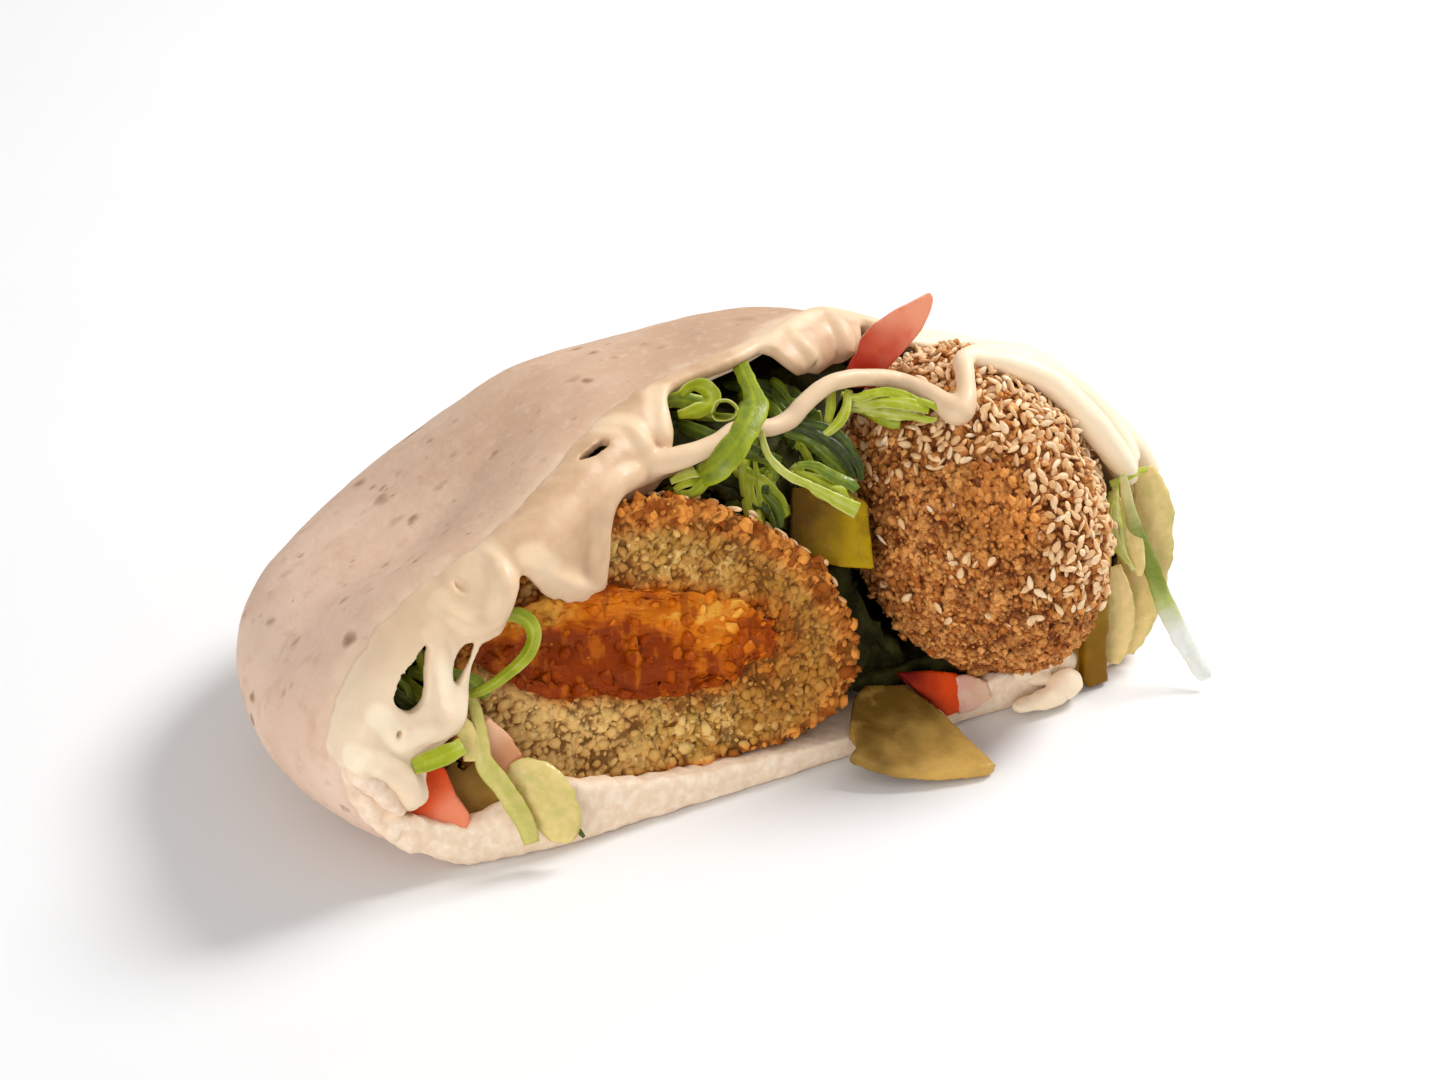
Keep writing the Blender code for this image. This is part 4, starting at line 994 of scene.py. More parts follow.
def bread_shell():
    """The pocket: an outer and an inner skin that meet in a torn, rounded lip, and their rows."""
    columns = BREAD_COLUMNS
    around = np.linspace(0, 2 * math.pi, columns, endpoint=False)
    upper = ease(np.sin(around), -0.05, 0.3)
    lip_wall = BREAD_WALL - LIP_THINNING * upper
    lip, inner_lip = lip_station(around), lip_station(around, lip_wall)
    rows = []
    for row in range(OUTER_ROWS):
        rows.append(bread_points(around, lip + (BACK_STATION - lip) * (1 - row / OUTER_ROWS)))
    outer_edge, inner_edge = bread_points(around, lip), bread_points(around, inner_lip, lip_wall)
    centre, across = (outer_edge + inner_edge) / 2, (inner_edge - outer_edge) / 2
    lower = ease(-np.sin(around), 0.15, 0.5)
    crinkle = rough(np.column_stack([inner_edge[:, 0], 0 * around, 0 * around]), 2.2, 3, 15)
    crinkle = crinkle * (1 + 1.6 * ease(np.abs(inner_edge[:, 0] - 43), 14, 6))
    lift = (along_table(LOWER_LIP_TOP, inner_edge[:, 0]) - BREAD_WALL + 0.55 * crinkle) * lower
    forward = (0.8 + 1.0 * lower + 0.12 * lift)[:, None] * np.array((0, -1.0, 0))
    for row in range(LIP_ROWS):
        turn = math.pi * row / (LIP_ROWS - 1)
        raised = lift * ease(turn, 0.6, math.pi)
        lean = forward * math.sin(turn * 0.82)
        rows.append(centre - across * math.cos(turn) + lean + raised[:, None] * UP)
    for row in range(1, INNER_ROWS):
        share = row / INNER_ROWS
        wall = lip_wall + (BREAD_WALL - lip_wall) * ease(row, 0, 8)
        points = bread_points(around, inner_lip + (BACK_STATION - inner_lip) * share**1.4, wall)
        rows.append(points + (lift * ease(row, 6, 1))[:, None] * UP)
    count = len(rows)
    faces = [face[::-1] for face in grid_faces(count, columns, wrap=True)]
    points = np.vstack([*rows, rows[0].mean(0) + (0, 0.15, 0), rows[-1].mean(0) + (0, 0.15, 0)])
    back, inner_back = count * columns, count * columns + 1
    start = (count - 1) * columns
    for column in range(columns):
        right = (column + 1) % columns
        faces.append((back, column, right))
        faces.append((inner_back, start + right, start + column))
    row_of = np.concatenate([np.repeat(np.arange(count), columns), [0, count - 1]])
    return Shell(points, faces), row_of


def make_bread():
    """The pocket, browned and torn at the lip, and the fold at its left corner."""
    shell, row_of = bread_shell()
    lip_share = bell(row_of, OUTER_ROWS + LIP_ROWS / 2, 0.8 * LIP_ROWS)
    inside = ease(row_of, OUTER_ROWS - 1, OUTER_ROWS + 4)
    flat = ease(shell.points[:, 2], 0.2, 3)
    corner = bell(shell.points[:, 0], -68, 9) * lip_share
    height = 0.6 * rough(shell.points, 26, 2, 3) + 0.10 * rough(shell.points, 5, 3, 5)
    height = height * flat * (1 - inside)
    fine = 0.28 * rough(shell.points, 3.5, 3, 9) + 0.07 * rough(shell.points, 1.3, 2, 12)
    height += lip_share * fine
    height += corner * 0.9 * rough(shell.points, 3.0, 3, 18)
    shell.push(height)
    shell.points[:, 2] = np.maximum(shell.points[:, 2], 0)
    behind = shell.points[:, 1] - lip_line(shell.points) + 2.2 * rough(shell.points, 7, 3, 21)
    sauced = ease(shell.points[:, 0], 66, 50) * ease(shell.points[:, 2], 20, 32)
    cream = ease(behind, 6.5, 0.5) * sauced
    paint = bread_paint()
    add_piece("bread", shell, paint, {"inside": inside, "cream": cream}, ["pita_bread"])
    fold = tube_shell(CORNER_FOLD, count=70)
    fold.push(0.35 * rough(fold.points, 2.6, 3, 24))
    marks = {"inside": np.full(len(fold.points), 0.8), "cream": np.zeros(len(fold.points))}
    add_piece("bread_corner_fold", fold, paint, marks)


# ---------------------------------------------------------------- the falafels


def crumbled(points, size, salt):
    """Height, tone and creases of a skin of broken crumbs, the largest of that size in mm."""
    bend = [rough(points, size * 1.4, 3, salt + k, 0.6) for k in (20, 30, 40)]
    bent = points + np.stack(bend, axis=1) * size * 0.4
    height, tone, crease = 0.35 * rough(points, size * 0.9, 3, salt + 60), 0, 0
    for level, (scale, weight) in enumerate(((1, 0.48), (0.52, 0.32), (0.28, 0.2))):
        near, second, owner = cells_of(bent, size * scale, salt + 9 * level)
        gap = second - near
        height = height + weight * (ease(gap, 0, 0.3) * (0.5 + 1.1 * owner) - 0.85)
        tone = tone + weight * owner
        deep = (1 - ease(gap, 0.0, 0.2)) * (0.9 - 0.25 * level) * (1 - 0.6 * owner)
        crease = np.maximum(crease, deep)
    tone = np.clip(0.5 + 1.5 * (tone - 0.5) + 0.2 * rough(points, 7, 2, salt + 70), 0, 1)
    return height, tone, crease


def lumps(places, normals, rng, low, high, flat, sink):
    """Small uneven crumbs bedded in a skin, and for each of their points the crumb's number."""
    template = ball(steps=1)
    shells, numbers = [], []
    for number, (place, normal) in enumerate(zip(places, normals)):
        size = low + (high - low) * rng.random() ** 1.8
        shape = template.points * (1 + 0.28 * rng.standard_normal((len(template.points), 1)))
        shape = shape * rng.uniform(0.6, 1.2, 3)
        heading = unit(np.cross(normal, rng.standard_normal(3)))
        side = np.cross(normal, heading)
        turn = np.stack([heading, side, normal * flat])
        points = place + normal * size * (0.5 - sink) * flat + shape * size / 2 @ turn
        shells.append(Shell(points, template.faces))
        numbers.append(np.full(len(points), number))
    return joined(shells), np.concatenate(numbers)


def whole_points(directions):
    """Where the skin of the whole falafel lies in each direction."""
    swell = 0.985 + 0.02 * rough(directions, 0.6, 2, 2) - 0.055 * ease(directions[:, 0], 0.1, 0.9)
    points = directions * WHOLE_SEMI_AXES * swell[:, None]
    return turned(points, "X", WHOLE_TILT) + WHOLE_CENTRE


def seeded(directions):
    """How thickly sesame seeds lie on the whole falafel: on its top and its right side."""
    side, _, level = directions.T
    upper = ease(level + 0.25 * (side + 0.1), -0.02, 0.12) * (0.15 + 0.85 * ease(side, -0.78, -0.5))
    return np.maximum(upper, ease(side, -0.16, 0.04) * ease(level, -0.86, -0.68))


def make_whole_falafel(paint):
    """The whole falafel: its crust, with a web in the bare patch, and loose crumbs on it."""
    shell = ball(steps=7)
    directions = shell.points.copy()
    shell.points = whole_points(directions)
    height, tone, pit = crumbled(shell.points, size=2.7, salt=100)
    # In the bare patch the batter fried into a web with pores.
    web = 1 - 2.2 * np.abs(rough(shell.points, 3.0, 3, 171, 0.6))
    edge = 0.06 * rough(shell.points, 4, 2, 175)
    bare = ease(np.linalg.norm(directions - unit(BARE_PATCH), axis=1) + edge, *BARE_EDGE)
    near, _, owner = cells_of(shell.points, 1.9, 180)
    pore = ease(near, 0.42, 0.15) * (owner > 0.5) * ease(directions[:, 0], 0.1, -0.1)
    lumpy = 1.0 * rough(shell.points, 10, 2, 160) + 0.8 * rough(shell.points, 4.5, 2, 162)
    shell.push(0.95 * height * (1 - 0.35 * bare) + 0.5 * web * bare - 0.7 * pore + 0.8 * lumpy)
    # Painted shade: the crust's creases, pores and hollows are darkened.
    pit = np.clip(pit * (1 - 0.4 * bare) + 0.7 * pore + 0.6 * ease(height, -0.2, -0.7), 0, 1)
    pit = np.maximum(pit, 0.6 * ease(lumpy, -0.15, -0.6) * (1 - 0.6 * bare))
    tone = np.clip(tone * (1 - 0.3 * bare) + 0.4 * bare * ease(web, -0.1, 0.9), 0, 1)
    marks = {"tone": tone, "pit": pit, "bare": bare}
    add_piece("falafel_whole_crust", shell, paint, marks, ["falafel_whole"])

    rugged = ease(shell.points[:, 2], 8, 13) * ease(shell.points[:, 1], 2, -4)
    rugged *= 1 - 0.85 * seeded(directions)
    places, normals, rng = scattered(shell, rugged + 1e-9, count=2200, spacing=0.85, seed=43)
    crumbs, number = lumps(places, normals, rng, low=0.6, high=2.0, flat=0.75, sink=0.38)
    marks = {"tone": rng.random(len(places))[number]}
    # Some loose crumbs are darkened at random through the same shade mark.
    marks["pit"] = 0.4 * rng.random(len(places))[number] ** 2
    local = turned(places - WHOLE_CENTRE, "X", -WHOLE_TILT) / WHOLE_SEMI_AXES
    gap = np.linalg.norm(unit(local) - unit(BARE_PATCH), axis=1)
    marks["bare"] = ease(gap, *BARE_EDGE)[number]
    add_piece("falafel_whole_crumbs", crumbs, paint, marks)
    return shell, directions, bare


def loaf_scale(points):
    """How far out a point is in the loaf's section: 1 is on its skin at the middle of its depth."""
    local = (points - CUT_CENTRE) / np.array((CUT_HALF_WIDTH, CUT_HALF_DEPTH, 1))
    x, z = np.abs(local[:, 0]), local[:, 2]
    top = np.where(local[:, 0] > 0, CUT_TOP_ROUNDNESS_RIGHT, CUT_TOP_ROUNDNESS_LEFT)
    power = np.where(z >= 0, top, CUT_FOOT_ROUNDNESS)
    z = np.abs(np.where(z > 0, z / CUT_RISE, z / CUT_DROP))
    section = (x**power + z**power) ** (1 / power)
    depth = np.sqrt(np.clip(1 - local[:, 1] ** 2, 0.0, 1))
    return section / np.maximum(depth**CUT_BLUNTNESS, 0.05)


def face_frame():
    """The cut face: a point on it, its outward normal and its two directions."""
    normal = np.array((0.0, -1.0, 0.0))
    normal = turned(turned(normal, "X", -CUT_FACE_LEAN), "Z", CUT_FACE_TURN)
    return np.array((CUT_CENTRE[0], CUT_FACE_Y, BREAD_WALL)), normal


def loaf_shell():
    """The loaf of the cut falafel before its cut."""
    shell = ball(steps=5)
    d = shell.points
    # The ball's poles are turned to front and back so that the section is even round its middle.
    turn = np.arccos(np.clip(-d[:, 1], -1, 1))
    x, z = d[:, 0], d[:, 2]
    radial = np.hypot(x, z)
    top = np.where(x > 0, CUT_TOP_ROUNDNESS_RIGHT, CUT_TOP_ROUNDNESS_LEFT)
    power = np.where(z >= 0, top, CUT_FOOT_ROUNDNESS)
    safe = np.maximum(radial, 1e-6)
    side = signed_power(x / safe, 2 / power) * radial**CUT_BLUNTNESS
    level = signed_power(z / safe, 2 / power) * radial**CUT_BLUNTNESS
    height = np.where(z > 0, CUT_RISE, CUT_DROP)
    y = -np.cos(turn)
    points = np.stack([side * CUT_HALF_WIDTH, y * CUT_HALF_DEPTH, level * height], axis=1)
    shell.points = points + CUT_CENTRE
    return shell


def filling_distance(points):
    """Scaled distance from the middle of the filling: 1 is on its skin."""
    local = turned(points - FILLING_CENTRE, "Y", -FILLING_SLOPE)
    return np.linalg.norm(local / FILLING_SEMI_AXES, axis=1)


def make_cut_falafel():
    """The cut falafel: crumb on its cut face and crust round the rest."""
    origin, normal = face_frame()
    shell = loaf_shell()
    ahead = (shell.points - origin) @ normal
    # What stands in front of the cut is pressed back onto it.
    over = ahead > 0
    slide = np.array((0.0, 1.0, 0.0))
    shell.points[over] += slide * (ahead[over] / -(slide @ normal))[:, None]
    shell = fused([shell], voxel=0.46).smooth(3)
    on_face = ease((shell.points - origin) @ normal, -1.2, -0.3)
    height, tone, pit = crumbled(shell.points, size=2.5, salt=200)
    marks = crumb_marks(shell.points, on_face)
    hollow = rough(shell.points, 9, 2, 230) + 0.5 * rough(shell.points, 4, 2, 232)
    shell.push(0.85 * height + 0.7 * hollow)
    tone = np.clip(tone + 0.5 * rough(shell.points, 5, 2, 234), 0, 1)
    # Painted shade: the crumb's creases and hollows are darkened.
    pit = np.clip(pit * 0.55 + ease(height + 0.6 * hollow, -0.15, -0.75) * 0.75, 0, 1)
    add_piece(
        "falafel_cut_crumb", shell, crumb_paint(),
        {"tone": tone, "pit": pit, **marks}, ["falafel_cut"],
    )  # fmt: skip
    return shell, on_face


def crumb_marks(points, on_face):
    """Where the cut falafel is crust and where its filling has stained it."""
    section = loaf_scale(points) + 0.035 * rough(points, 4, 2, 8)
    edge = 0.90 - 0.07 * ease(points[:, 2], 28, 46) - 0.04 * ease(points[:, 0], -10, 10)
    rim = np.maximum(1 - on_face, ease(section, edge - 0.04, edge + 0.05))
    near = filling_distance(points) + 0.16 * rough(points, 5, 3, 21)
    return {"rim": rim, "stain": ease(near, 1.42, 1.0)}


def make_filling():
    """The chilli filling, which bulges a little out of the cut face."""
    origin, normal = face_frame()
    shell = ball(steps=6)
    radius = 1.0 + 0.10 * rough(shell.points, 0.32, 3, 25)
    points = turned(shell.points * FILLING_SEMI_AXES * radius[:, None], "Y", FILLING_SLOPE)
    points = points + FILLING_CENTRE
    ahead = (points - origin) @ normal
    swell = 1.0 + 0.7 * rough(points, 8, 2, 33) * ease(filling_distance(points), 1.1, 0.6)
    over = ahead > swell
    points[over] -= normal * (ahead - swell)[over][:, None]
    shell.points = points
    height, tone, pit = crumbled(points, size=3.4, salt=300)
    shell.push(0.32 * height + 0.8 * rough(shell.points, 5, 2, 46))
    # Painted shade: the filling's creases take part of the crumbled crease mark as darkening.
    add_piece(
        "chilli_filling_flesh", shell, filling_paint(),
        {"tone": filling_tone(shell.points, tone), "pit": pit * 0.3}, ["chilli_filling"],
    )  # fmt: skip
    return shell


def filling_tone(points, tone):
    """Bright orange at the upper left, deep red-brown in the middle, yellow chunks at the right."""
    x, _, z = points.T
    band = z + 0.2 * x
    warm = 0.5 * ease(x, -30, -40) * ease(z, 30, 33) + 0.42 * ease(band, 23, 28)
    warm += 0.45 * bell(x, -12, 5) * ease(z, 21, 26)
    warm -= 0.35 * ease(x, -16, -24) * ease(band, 26, 22)
    return np.clip(tone * 0.6 - 0.07 + warm + 0.14 * rough(points, 6, 2, 44), 0, 1)


def make_crumbs(cut, on_face, filling):
    """Broken crumbs that stand out of the cut face, and chunks in the filling."""
    depth = filling_distance(cut.points)
    weights = on_face * ease(depth, 1.0, 1.15) * (0.5 + rough(cut.points, 6, 2, 240).clip(-0.4, 1))
    weights *= 1 - 0.75 * crumb_marks(cut.points, on_face)["rim"]
    places, normals, rng = scattered(cut, weights + 1e-9, count=1300, spacing=1.1, seed=41)
    shell, number = lumps(places, normals, rng, low=0.8, high=2.6, flat=0.6, sink=0.45)
    marks = crumb_marks(shell.points, np.ones(len(shell.points)))
    marks["tone"] = rng.random(len(places))[number]
    marks["pit"] = np.zeros(len(number))
    add_piece("falafel_crumbs", shell, crumb_paint(), marks)

    front = (filling.normals()[:, 1] < -0.4) * ease(filling_distance(filling.points), 1.2, 0.9)
    front = front * (0.15 + ease(filling.points[:, 0], -24, -10))
    places, normals, rng = scattered(filling, front + 1e-9, count=80, spacing=2.0, seed=42)
    shell, number = lumps(places, normals, rng, low=1.2, high=3.6, flat=0.6, sink=0.4)
    tone = filling_tone(shell.points, rng.random(len(places))[number])
    marks = {"tone": tone, "pit": np.zeros(len(number))}
    add_piece("chilli_chunks", shell, filling_paint(), marks)


def make_seeds(name, spots, seed_size, tilt):
    """Sesame seeds: flat teardrops bedded in the crust, each turned its own way."""
    template = ball(steps=2)
    base = template.points.copy()
    narrow = 1 - 0.42 * np.clip(base[:, 0], -0.2, 1)
    shape = base * np.stack([np.ones(len(base)), narrow, narrow * 0.9], axis=1)
    shells, tones = [], []
    for places, normals, rng in spots:
        for place, normal in zip(places, normals):
            size = seed_size * rng.uniform(0.82, 1.15, 3)
            heading = unit(np.cross(normal, rng.normal(size=3)))
            lean = unit(normal + rng.normal(size=3) * tilt)
            heading = unit(heading - lean * (heading @ lean))
            side = np.cross(lean, heading)
            local = shape * size / 2
            points = place + normal * rng.uniform(0.25, 0.8)
            points = points + local[:, :1] * heading + local[:, 1:2] * side + local[:, 2:] * lean
            shells.append(Shell(points, template.faces))
            tones.append(np.full(len(points), rng.beta(1.6, 1.8)))
    add_piece(name, joined(shells), seed_paint(), {"tone": np.concatenate(tones)})


def scattered(shell, weights, count, spacing, seed):
    """Points on the shell, more where the weights are high, at least spacing apart."""
    rng = np.random.default_rng(seed)
    normals = shell.normals()
    odds = weights / weights.sum()
    picked = []
    order = rng.choice(len(shell.points), size=min(count * 8, len(shell.points) - 1), p=odds)
    grid = {}
    for index in order:
        place = shell.points[index]
        cell = tuple((place // spacing).astype(int))
        clear = True
        for step in itertools.product((-1, 0, 1), repeat=3):
            for other in grid.get(tuple(np.add(cell, step)), ()):
                if np.sum((other - place) ** 2) < spacing**2:
                    clear = False
                    break
            if not clear:
                break
        if clear:
            grid.setdefault(cell, []).append(place)
            picked.append(index)
        if len(picked) >= count:
            break
    return shell.points[picked], normals[picked], rng


def make_sesame(whole, directions, bare, cut, on_face):
    """Seeds lie thickly on the whole falafel's top and right, and leave the bare patch in front."""
    weights = seeded(directions) + 0.03 * ease(whole.points[:, 2], 16, 26)
    for spot in STRAY_SEEDS:
        gap = np.linalg.norm(directions - unit(np.array(spot)), axis=1)
        weights += 0.5 * bell(gap, 0, 0.09)
    weights *= (1 - 0.97 * bare) * ease(whole.points[:, 1], 14, 2)
    spots = [scattered(whole, weights, count=1750, spacing=0.92, seed=5)]
    outside = (1 - on_face) * ease(cut.points[:, 0], -34, -6) * ease(cut.points[:, 2], 20, 30)
    spots.append(scattered(cut, outside + 1e-9, count=110, spacing=1.8, seed=6))
    make_seeds("sesame_seeds", spots, np.array(SEED_SIZE), tilt=0.42)


# ---------------------------------------------------------------- the sauce


def along_table(table, value):
    """The second column of a table, read with softened corners at any value of the first."""
    rows = np.array(table, float)
    places = np.linspace(rows[0, 0], rows[-1, 0], 1200)
    heights = np.interp(places, rows[:, 0], rows[:, 1])
    for _ in range(2):
        heights = np.convolve(np.pad(heights, 3, "edge"), np.full(7, 1 / 7), "valid")
    return np.interp(value, places, heights)


def curtain(bearing, down):
    """Points of the curtain of sauce. With down below 0 they lie behind the lip, on the bread."""
    around = np.radians(bearing)
    base = bread_points(around, lip_station(around, ahead=np.minimum(down, 0)), -CURTAIN_LIFT)
    turn = np.clip(down / CURTAIN_REACH, 0, 1) * math.pi / 2
    straight = CURTAIN_SHOULDER + down - CURTAIN_REACH
    drop = np.where(down < CURTAIN_REACH, CURTAIN_SHOULDER * (1 - np.cos(turn)), straight)
    forward = CURTAIN_REACH * np.sin(turn)
    share = ease(bearing, 44, 58)
    base[..., 0] -= 0.85 * (1 - share) * forward
    base[..., 1] -= (0.53 + 0.47 * share) * forward
    base[..., 2] -= drop
    return base


def curtain_sheet(edge_table, columns, rows=40):
    """The thin film of the curtain, from behind the lip down to the edge in the table."""
    bearing = np.linspace(edge_table[0][0], edge_table[-1][0], columns)
    edge = along_table(edge_table, bearing)
    edge = edge + np.minimum(0.07 * edge, 0.5) * rough(bearing[:, None] * (1, 0, 0), 2.3, 2, 61)
    back = 1.7 + 0.8 * rough(bearing[:, None] * (1, 0, 0), 4.0, 2, 62)
    share = np.linspace(0, 1, rows)[:, None]
    down = -back + share * (edge + back)
    grid = curtain(np.broadcast_to(bearing, down.shape), down)
    row_rim = np.minimum(np.arange(rows), rows - 1 - np.arange(rows)) / 5.0
    column_rim = np.minimum(np.arange(columns), columns - 1 - np.arange(columns)) / 8.0
    rim = np.minimum(row_rim[:, None], column_rim[None, :])
    thick = 1.9 * np.clip(0.4 + 0.5 * rim, 0, 1) * (1 + 0.25 * ease(share, 0.5, 1.0))
    return sheet_shell(grid, thick)


def curtain_tube(knots):
    """A thick run of sauce on the curtain, through knots of bearing, down and half-thickness."""
    rows = through(knots, 16)
    places = curtain(rows[:, 0], rows[:, 1])
    places[:, 1] -= 0.25 * rows[:, 2]
    return tube_shell(np.column_stack([places, rows[:, 2]]), count=40, sides=14)


def ellipsoid(centre, radii):
    shell = ball(steps=3)
    shell.points = shell.points * np.array(radii, float) + np.array(centre, float)
    return shell


def opening(outline):
    """A prism through the curtain along its mean normal, with the smoothed outline."""
    rows = through((*outline, *outline[:3]), 12 * (len(outline) + 2))
    rows = rows[12:-12]
    places = curtain(rows[:, 0], rows[:, 1])
    reach = OPENING_REACH * outward(places)
    return fused([prism(places - reach, places + reach)], voxel=0.3)


def make_sauce():
    """The tahini: the curtain with its folds and openings, the stream and the shoulder flows."""
    parts = [curtain_sheet(SAUCE_EDGE, columns=420)]
    parts.append(curtain_sheet(SAUCE_EDGE_RIGHT, columns=90, rows=24))
    parts += [curtain_tube(knots) for knots in SAUCE_FOLDS]
    parts.append(tube_shell(STREAM, count=260))
    parts += [tube_shell(knots, count=80) for knots in SHOULDER_FLOWS]
    cutters = [opening(outline) for outline in SAUCE_HOLES]
    for bearing, down, radius in SAUCE_PITS:
        place = curtain(np.array([bearing]), np.array([down]))[0]
        place = place + 1.3 * unit(OUT_OF_MOUTH)
        cutters.append(ellipsoid(place, (radius, 2.2, radius)))
    shell = without(fused(parts, voxel=0.5), cutters)
    shell = fused([shell, curtain_tube(SAUCE_THREAD)], voxel=0.42).smooth(7)
    shell.push(0.16 * rough(shell.points, 6, 2, 51))

    # Thick runs are creamy. Between them it is tan, which is painted shade, and where the film ends
    # on the bread it is tan too.
    tree = KDTree(8000)
    spines = [curtain(rows[:, 0], rows[:, 1]) for rows in (through(k, 40) for k in SAUCE_FOLDS)]
    spines += [through(knots, 120)[:, :3] for knots in (STREAM, *SHOULDER_FLOWS)]
    for number, place in enumerate(np.vstack(spines)):
        tree.insert(place, number)
    tree.balance()
    far = np.array([tree.find(place)[2] for place in shell.points])
    thick = ease(far + 0.6 * rough(shell.points, 5, 2, 52), 4.0, 1.2)
    behind = shell.points[:, 1] - lip_line(shell.points) + 0.7 * rough(shell.points, 4, 2, 53)
    film = ease(behind, 0.0, 1.7) * ease(shell.points[:, 0], 60, 40)
    x, _, z = shell.points.T
    # Painted light: light is high on the right and at the lower left, where the sauce is painted
    # paler; there creamy also keeps it from the painted tan.
    light = np.maximum(ease(x, 34, 46), ease(x, -44, -58) * ease(z, 44, 30))
    creamy = np.maximum(ease(x, 34, 46), 0.6 * ease(x, -40, -52))
    marks = {"thick": np.maximum(thick, creamy), "film": film, "light": light}
    add_piece("tahini_sauce_flow", shell, sauce_paint(), marks, ["tahini_sauce"])


# ---------------------------------------------------------------- the salad


def ribbon(knots, cup, frill, salt, thickness=0.3, aside=0.0, narrow=1.0, span=(0, 1)):
    """A shred of leaf along the knots. It faces out of the mouth except for its twist."""
    steps = RIBBON_STEPS
    rows = through(knots, steps)
    places = np.linspace(span[0] * (steps - 1), span[1] * (steps - 1), steps)
    rows = np.column_stack([np.interp(places, np.arange(steps), column) for column in rows.T])
    centre, half, twist = rows[:, :3], rows[:, 3], np.radians(rows[:, 4])
    along = unit(np.gradient(centre, axis=0))
    facing = np.empty_like(centre)
    last = unit(OUT_OF_MOUTH)
    for step, heading in enumerate(along):
        last = OUT_OF_MOUTH + 0.6 * last
        last = unit(last - heading * (last @ heading))
        facing[step] = last
    side = np.cross(along, facing)
    cosine, sine = np.cos(twist)[:, None], np.sin(twist)[:, None]
    facing, side = facing * cosine + side * sine, side * cosine - facing * sine
    centre, half = centre + side * half[:, None] * aside, half * narrow
    share = np.linspace(-1, 1, RIBBON_ACROSS)[None, :, None]
    width = half[:, None, None] * (1 + 0.12 * rough(centre, 2.2, 2, salt))[:, None, None]
    grid = centre[:, None] + side[:, None] * width * share
    wave = rough(grid.reshape(-1, 3), 2.4, 2, salt + 3).reshape(grid.shape[:2])[..., None]
    bend = 0.55 * cup * width * (np.abs(share) ** 1.2 - 0.45)
    bend = bend + (0.16 + frill * share**2) * 0.8 * wave
    grid = grid - facing[:, None] * bend
    rim = np.minimum(np.arange(steps), np.arange(steps)[::-1])[:, None] / 3.0
    thin = np.clip(0.35 + np.minimum(1 - np.abs(share[..., 0]), rim) * 1.6, 0.35, 1)
    return sheet_shell(grid, thickness * thin)


def shred_tone(shell, shade):
    """A shred's shade at each point: streaked along its length, paler on its rib and edges."""
    share = np.tile(np.linspace(-1, 1, RIBBON_ACROSS), 2 * RIBBON_STEPS)
    along = np.tile(np.repeat(np.linspace(0, 1, RIBBON_STEPS), RIBBON_ACROSS), 2)
    place = np.stack([2.2 * share, 1.1 * along, shade * 40 + 0 * share], axis=1)
    streak = rough(place, 1.0, 2, 402)
    tone = shade + 0.10 * rough(shell.points, 3.5, 2, 400) + 0.09 * streak
    share = np.abs(share)
    return np.clip(tone + 0.18 * ease(share, 0.72, 1.0) + 0.10 * ease(share, 0.2, 0.0), 0, 1)


def make_shreds(name, table, paint, extra=()):
    """Shreds as one piece. A broad one with a frill is torn lengthwise into three."""
    rng = np.random.default_rng(len(table) + len(extra))
    shells, tones = [], []
    for number, (shade, cup, frill, knots) in enumerate((*table, *extra)):
        salt = 410 + 5 * number
        if name == "lettuce_pale" or frill == 0 or max(row[3] for row in knots) < 1.65:
            shells.append(ribbon(knots, cup, frill, salt))
            tones.append(shred_tone(shells[-1], shade))
            continue
        for aside in (-0.62, 0.02, 0.62):
            torn = np.array(knots, float)
            torn[:, :3] += rng.normal(size=(len(torn), 3)) * 0.3
            torn[:, :3] += 0.4 * aside * aside * OUT_OF_MOUTH
            torn[:, 4] += 34 * aside + rng.normal() * 12
            span = (rng.uniform(0, 0.16), rng.uniform(0.8, 1))
            shells.append(ribbon(torn, cup, frill, salt, 0.28, aside, rng.uniform(0.34, 0.5), span))
            tones.append(shred_tone(shells[-1], shade + rng.uniform(-0.16, 0.2)))
            salt += 1
    add_piece(name, joined(shells), paint, {"tone": np.concatenate(tones)})


def heap_shreds(core, count, seed):
    """More shreds, curled over the heap where the mouth shows it."""
    rng = np.random.default_rng(seed)
    normals = core.normals()
    x, y, z = core.points.T
    middle = (np.abs(x - 2) < 22) & (y < 6) & (z > 34)
    corner = (x < -50) & (y < -12)
    right = (x > 54) & (y < -10)
    open_to = normals @ unit(OUT_OF_MOUTH) > 0.1
    chosen = np.flatnonzero((middle | corner | right) & open_to)
    made = []
    for index in rng.choice(chosen, count):
        place, normal = core.points[index], normals[index]
        heading = unit(np.cross(normal, rng.standard_normal(3)))
        side = np.cross(normal, heading)
        length, curl = rng.uniform(6, 13), rng.uniform(-1.3, 1.3)
        height, half = rng.uniform(0.4, 2.0), rng.uniform(0.7, 1.7)
        knots = []
        for step in np.linspace(-0.5, 0.5, 5):
            angle = curl * step
            line = heading * math.sin(angle + step) + side * (1 - math.cos(angle)) * 1.2
            arch = height * (1.2 - 5.5 * step * step)
            width = half * (1.05 - 1.6 * step * step)
            knots.append((*(place + line * length + normal * arch), width, rng.uniform(-35, 35)))
        shade = rng.beta(1.4, 2.0) * 0.75
        made.append((shade, rng.uniform(0.2, 0.5), rng.uniform(0, 0.4), tuple(knots)))
    return made


# ---------------------------------------------------------------- small pieces


def slab(corners, thickness):
    """A flat piece behind its front face's corners."""
    front = np.array(corners, float)
    normal = outward(front)
    front = front - np.outer((front - front.mean(0)) @ normal, normal)
    return prism(front, front - thickness * normal)


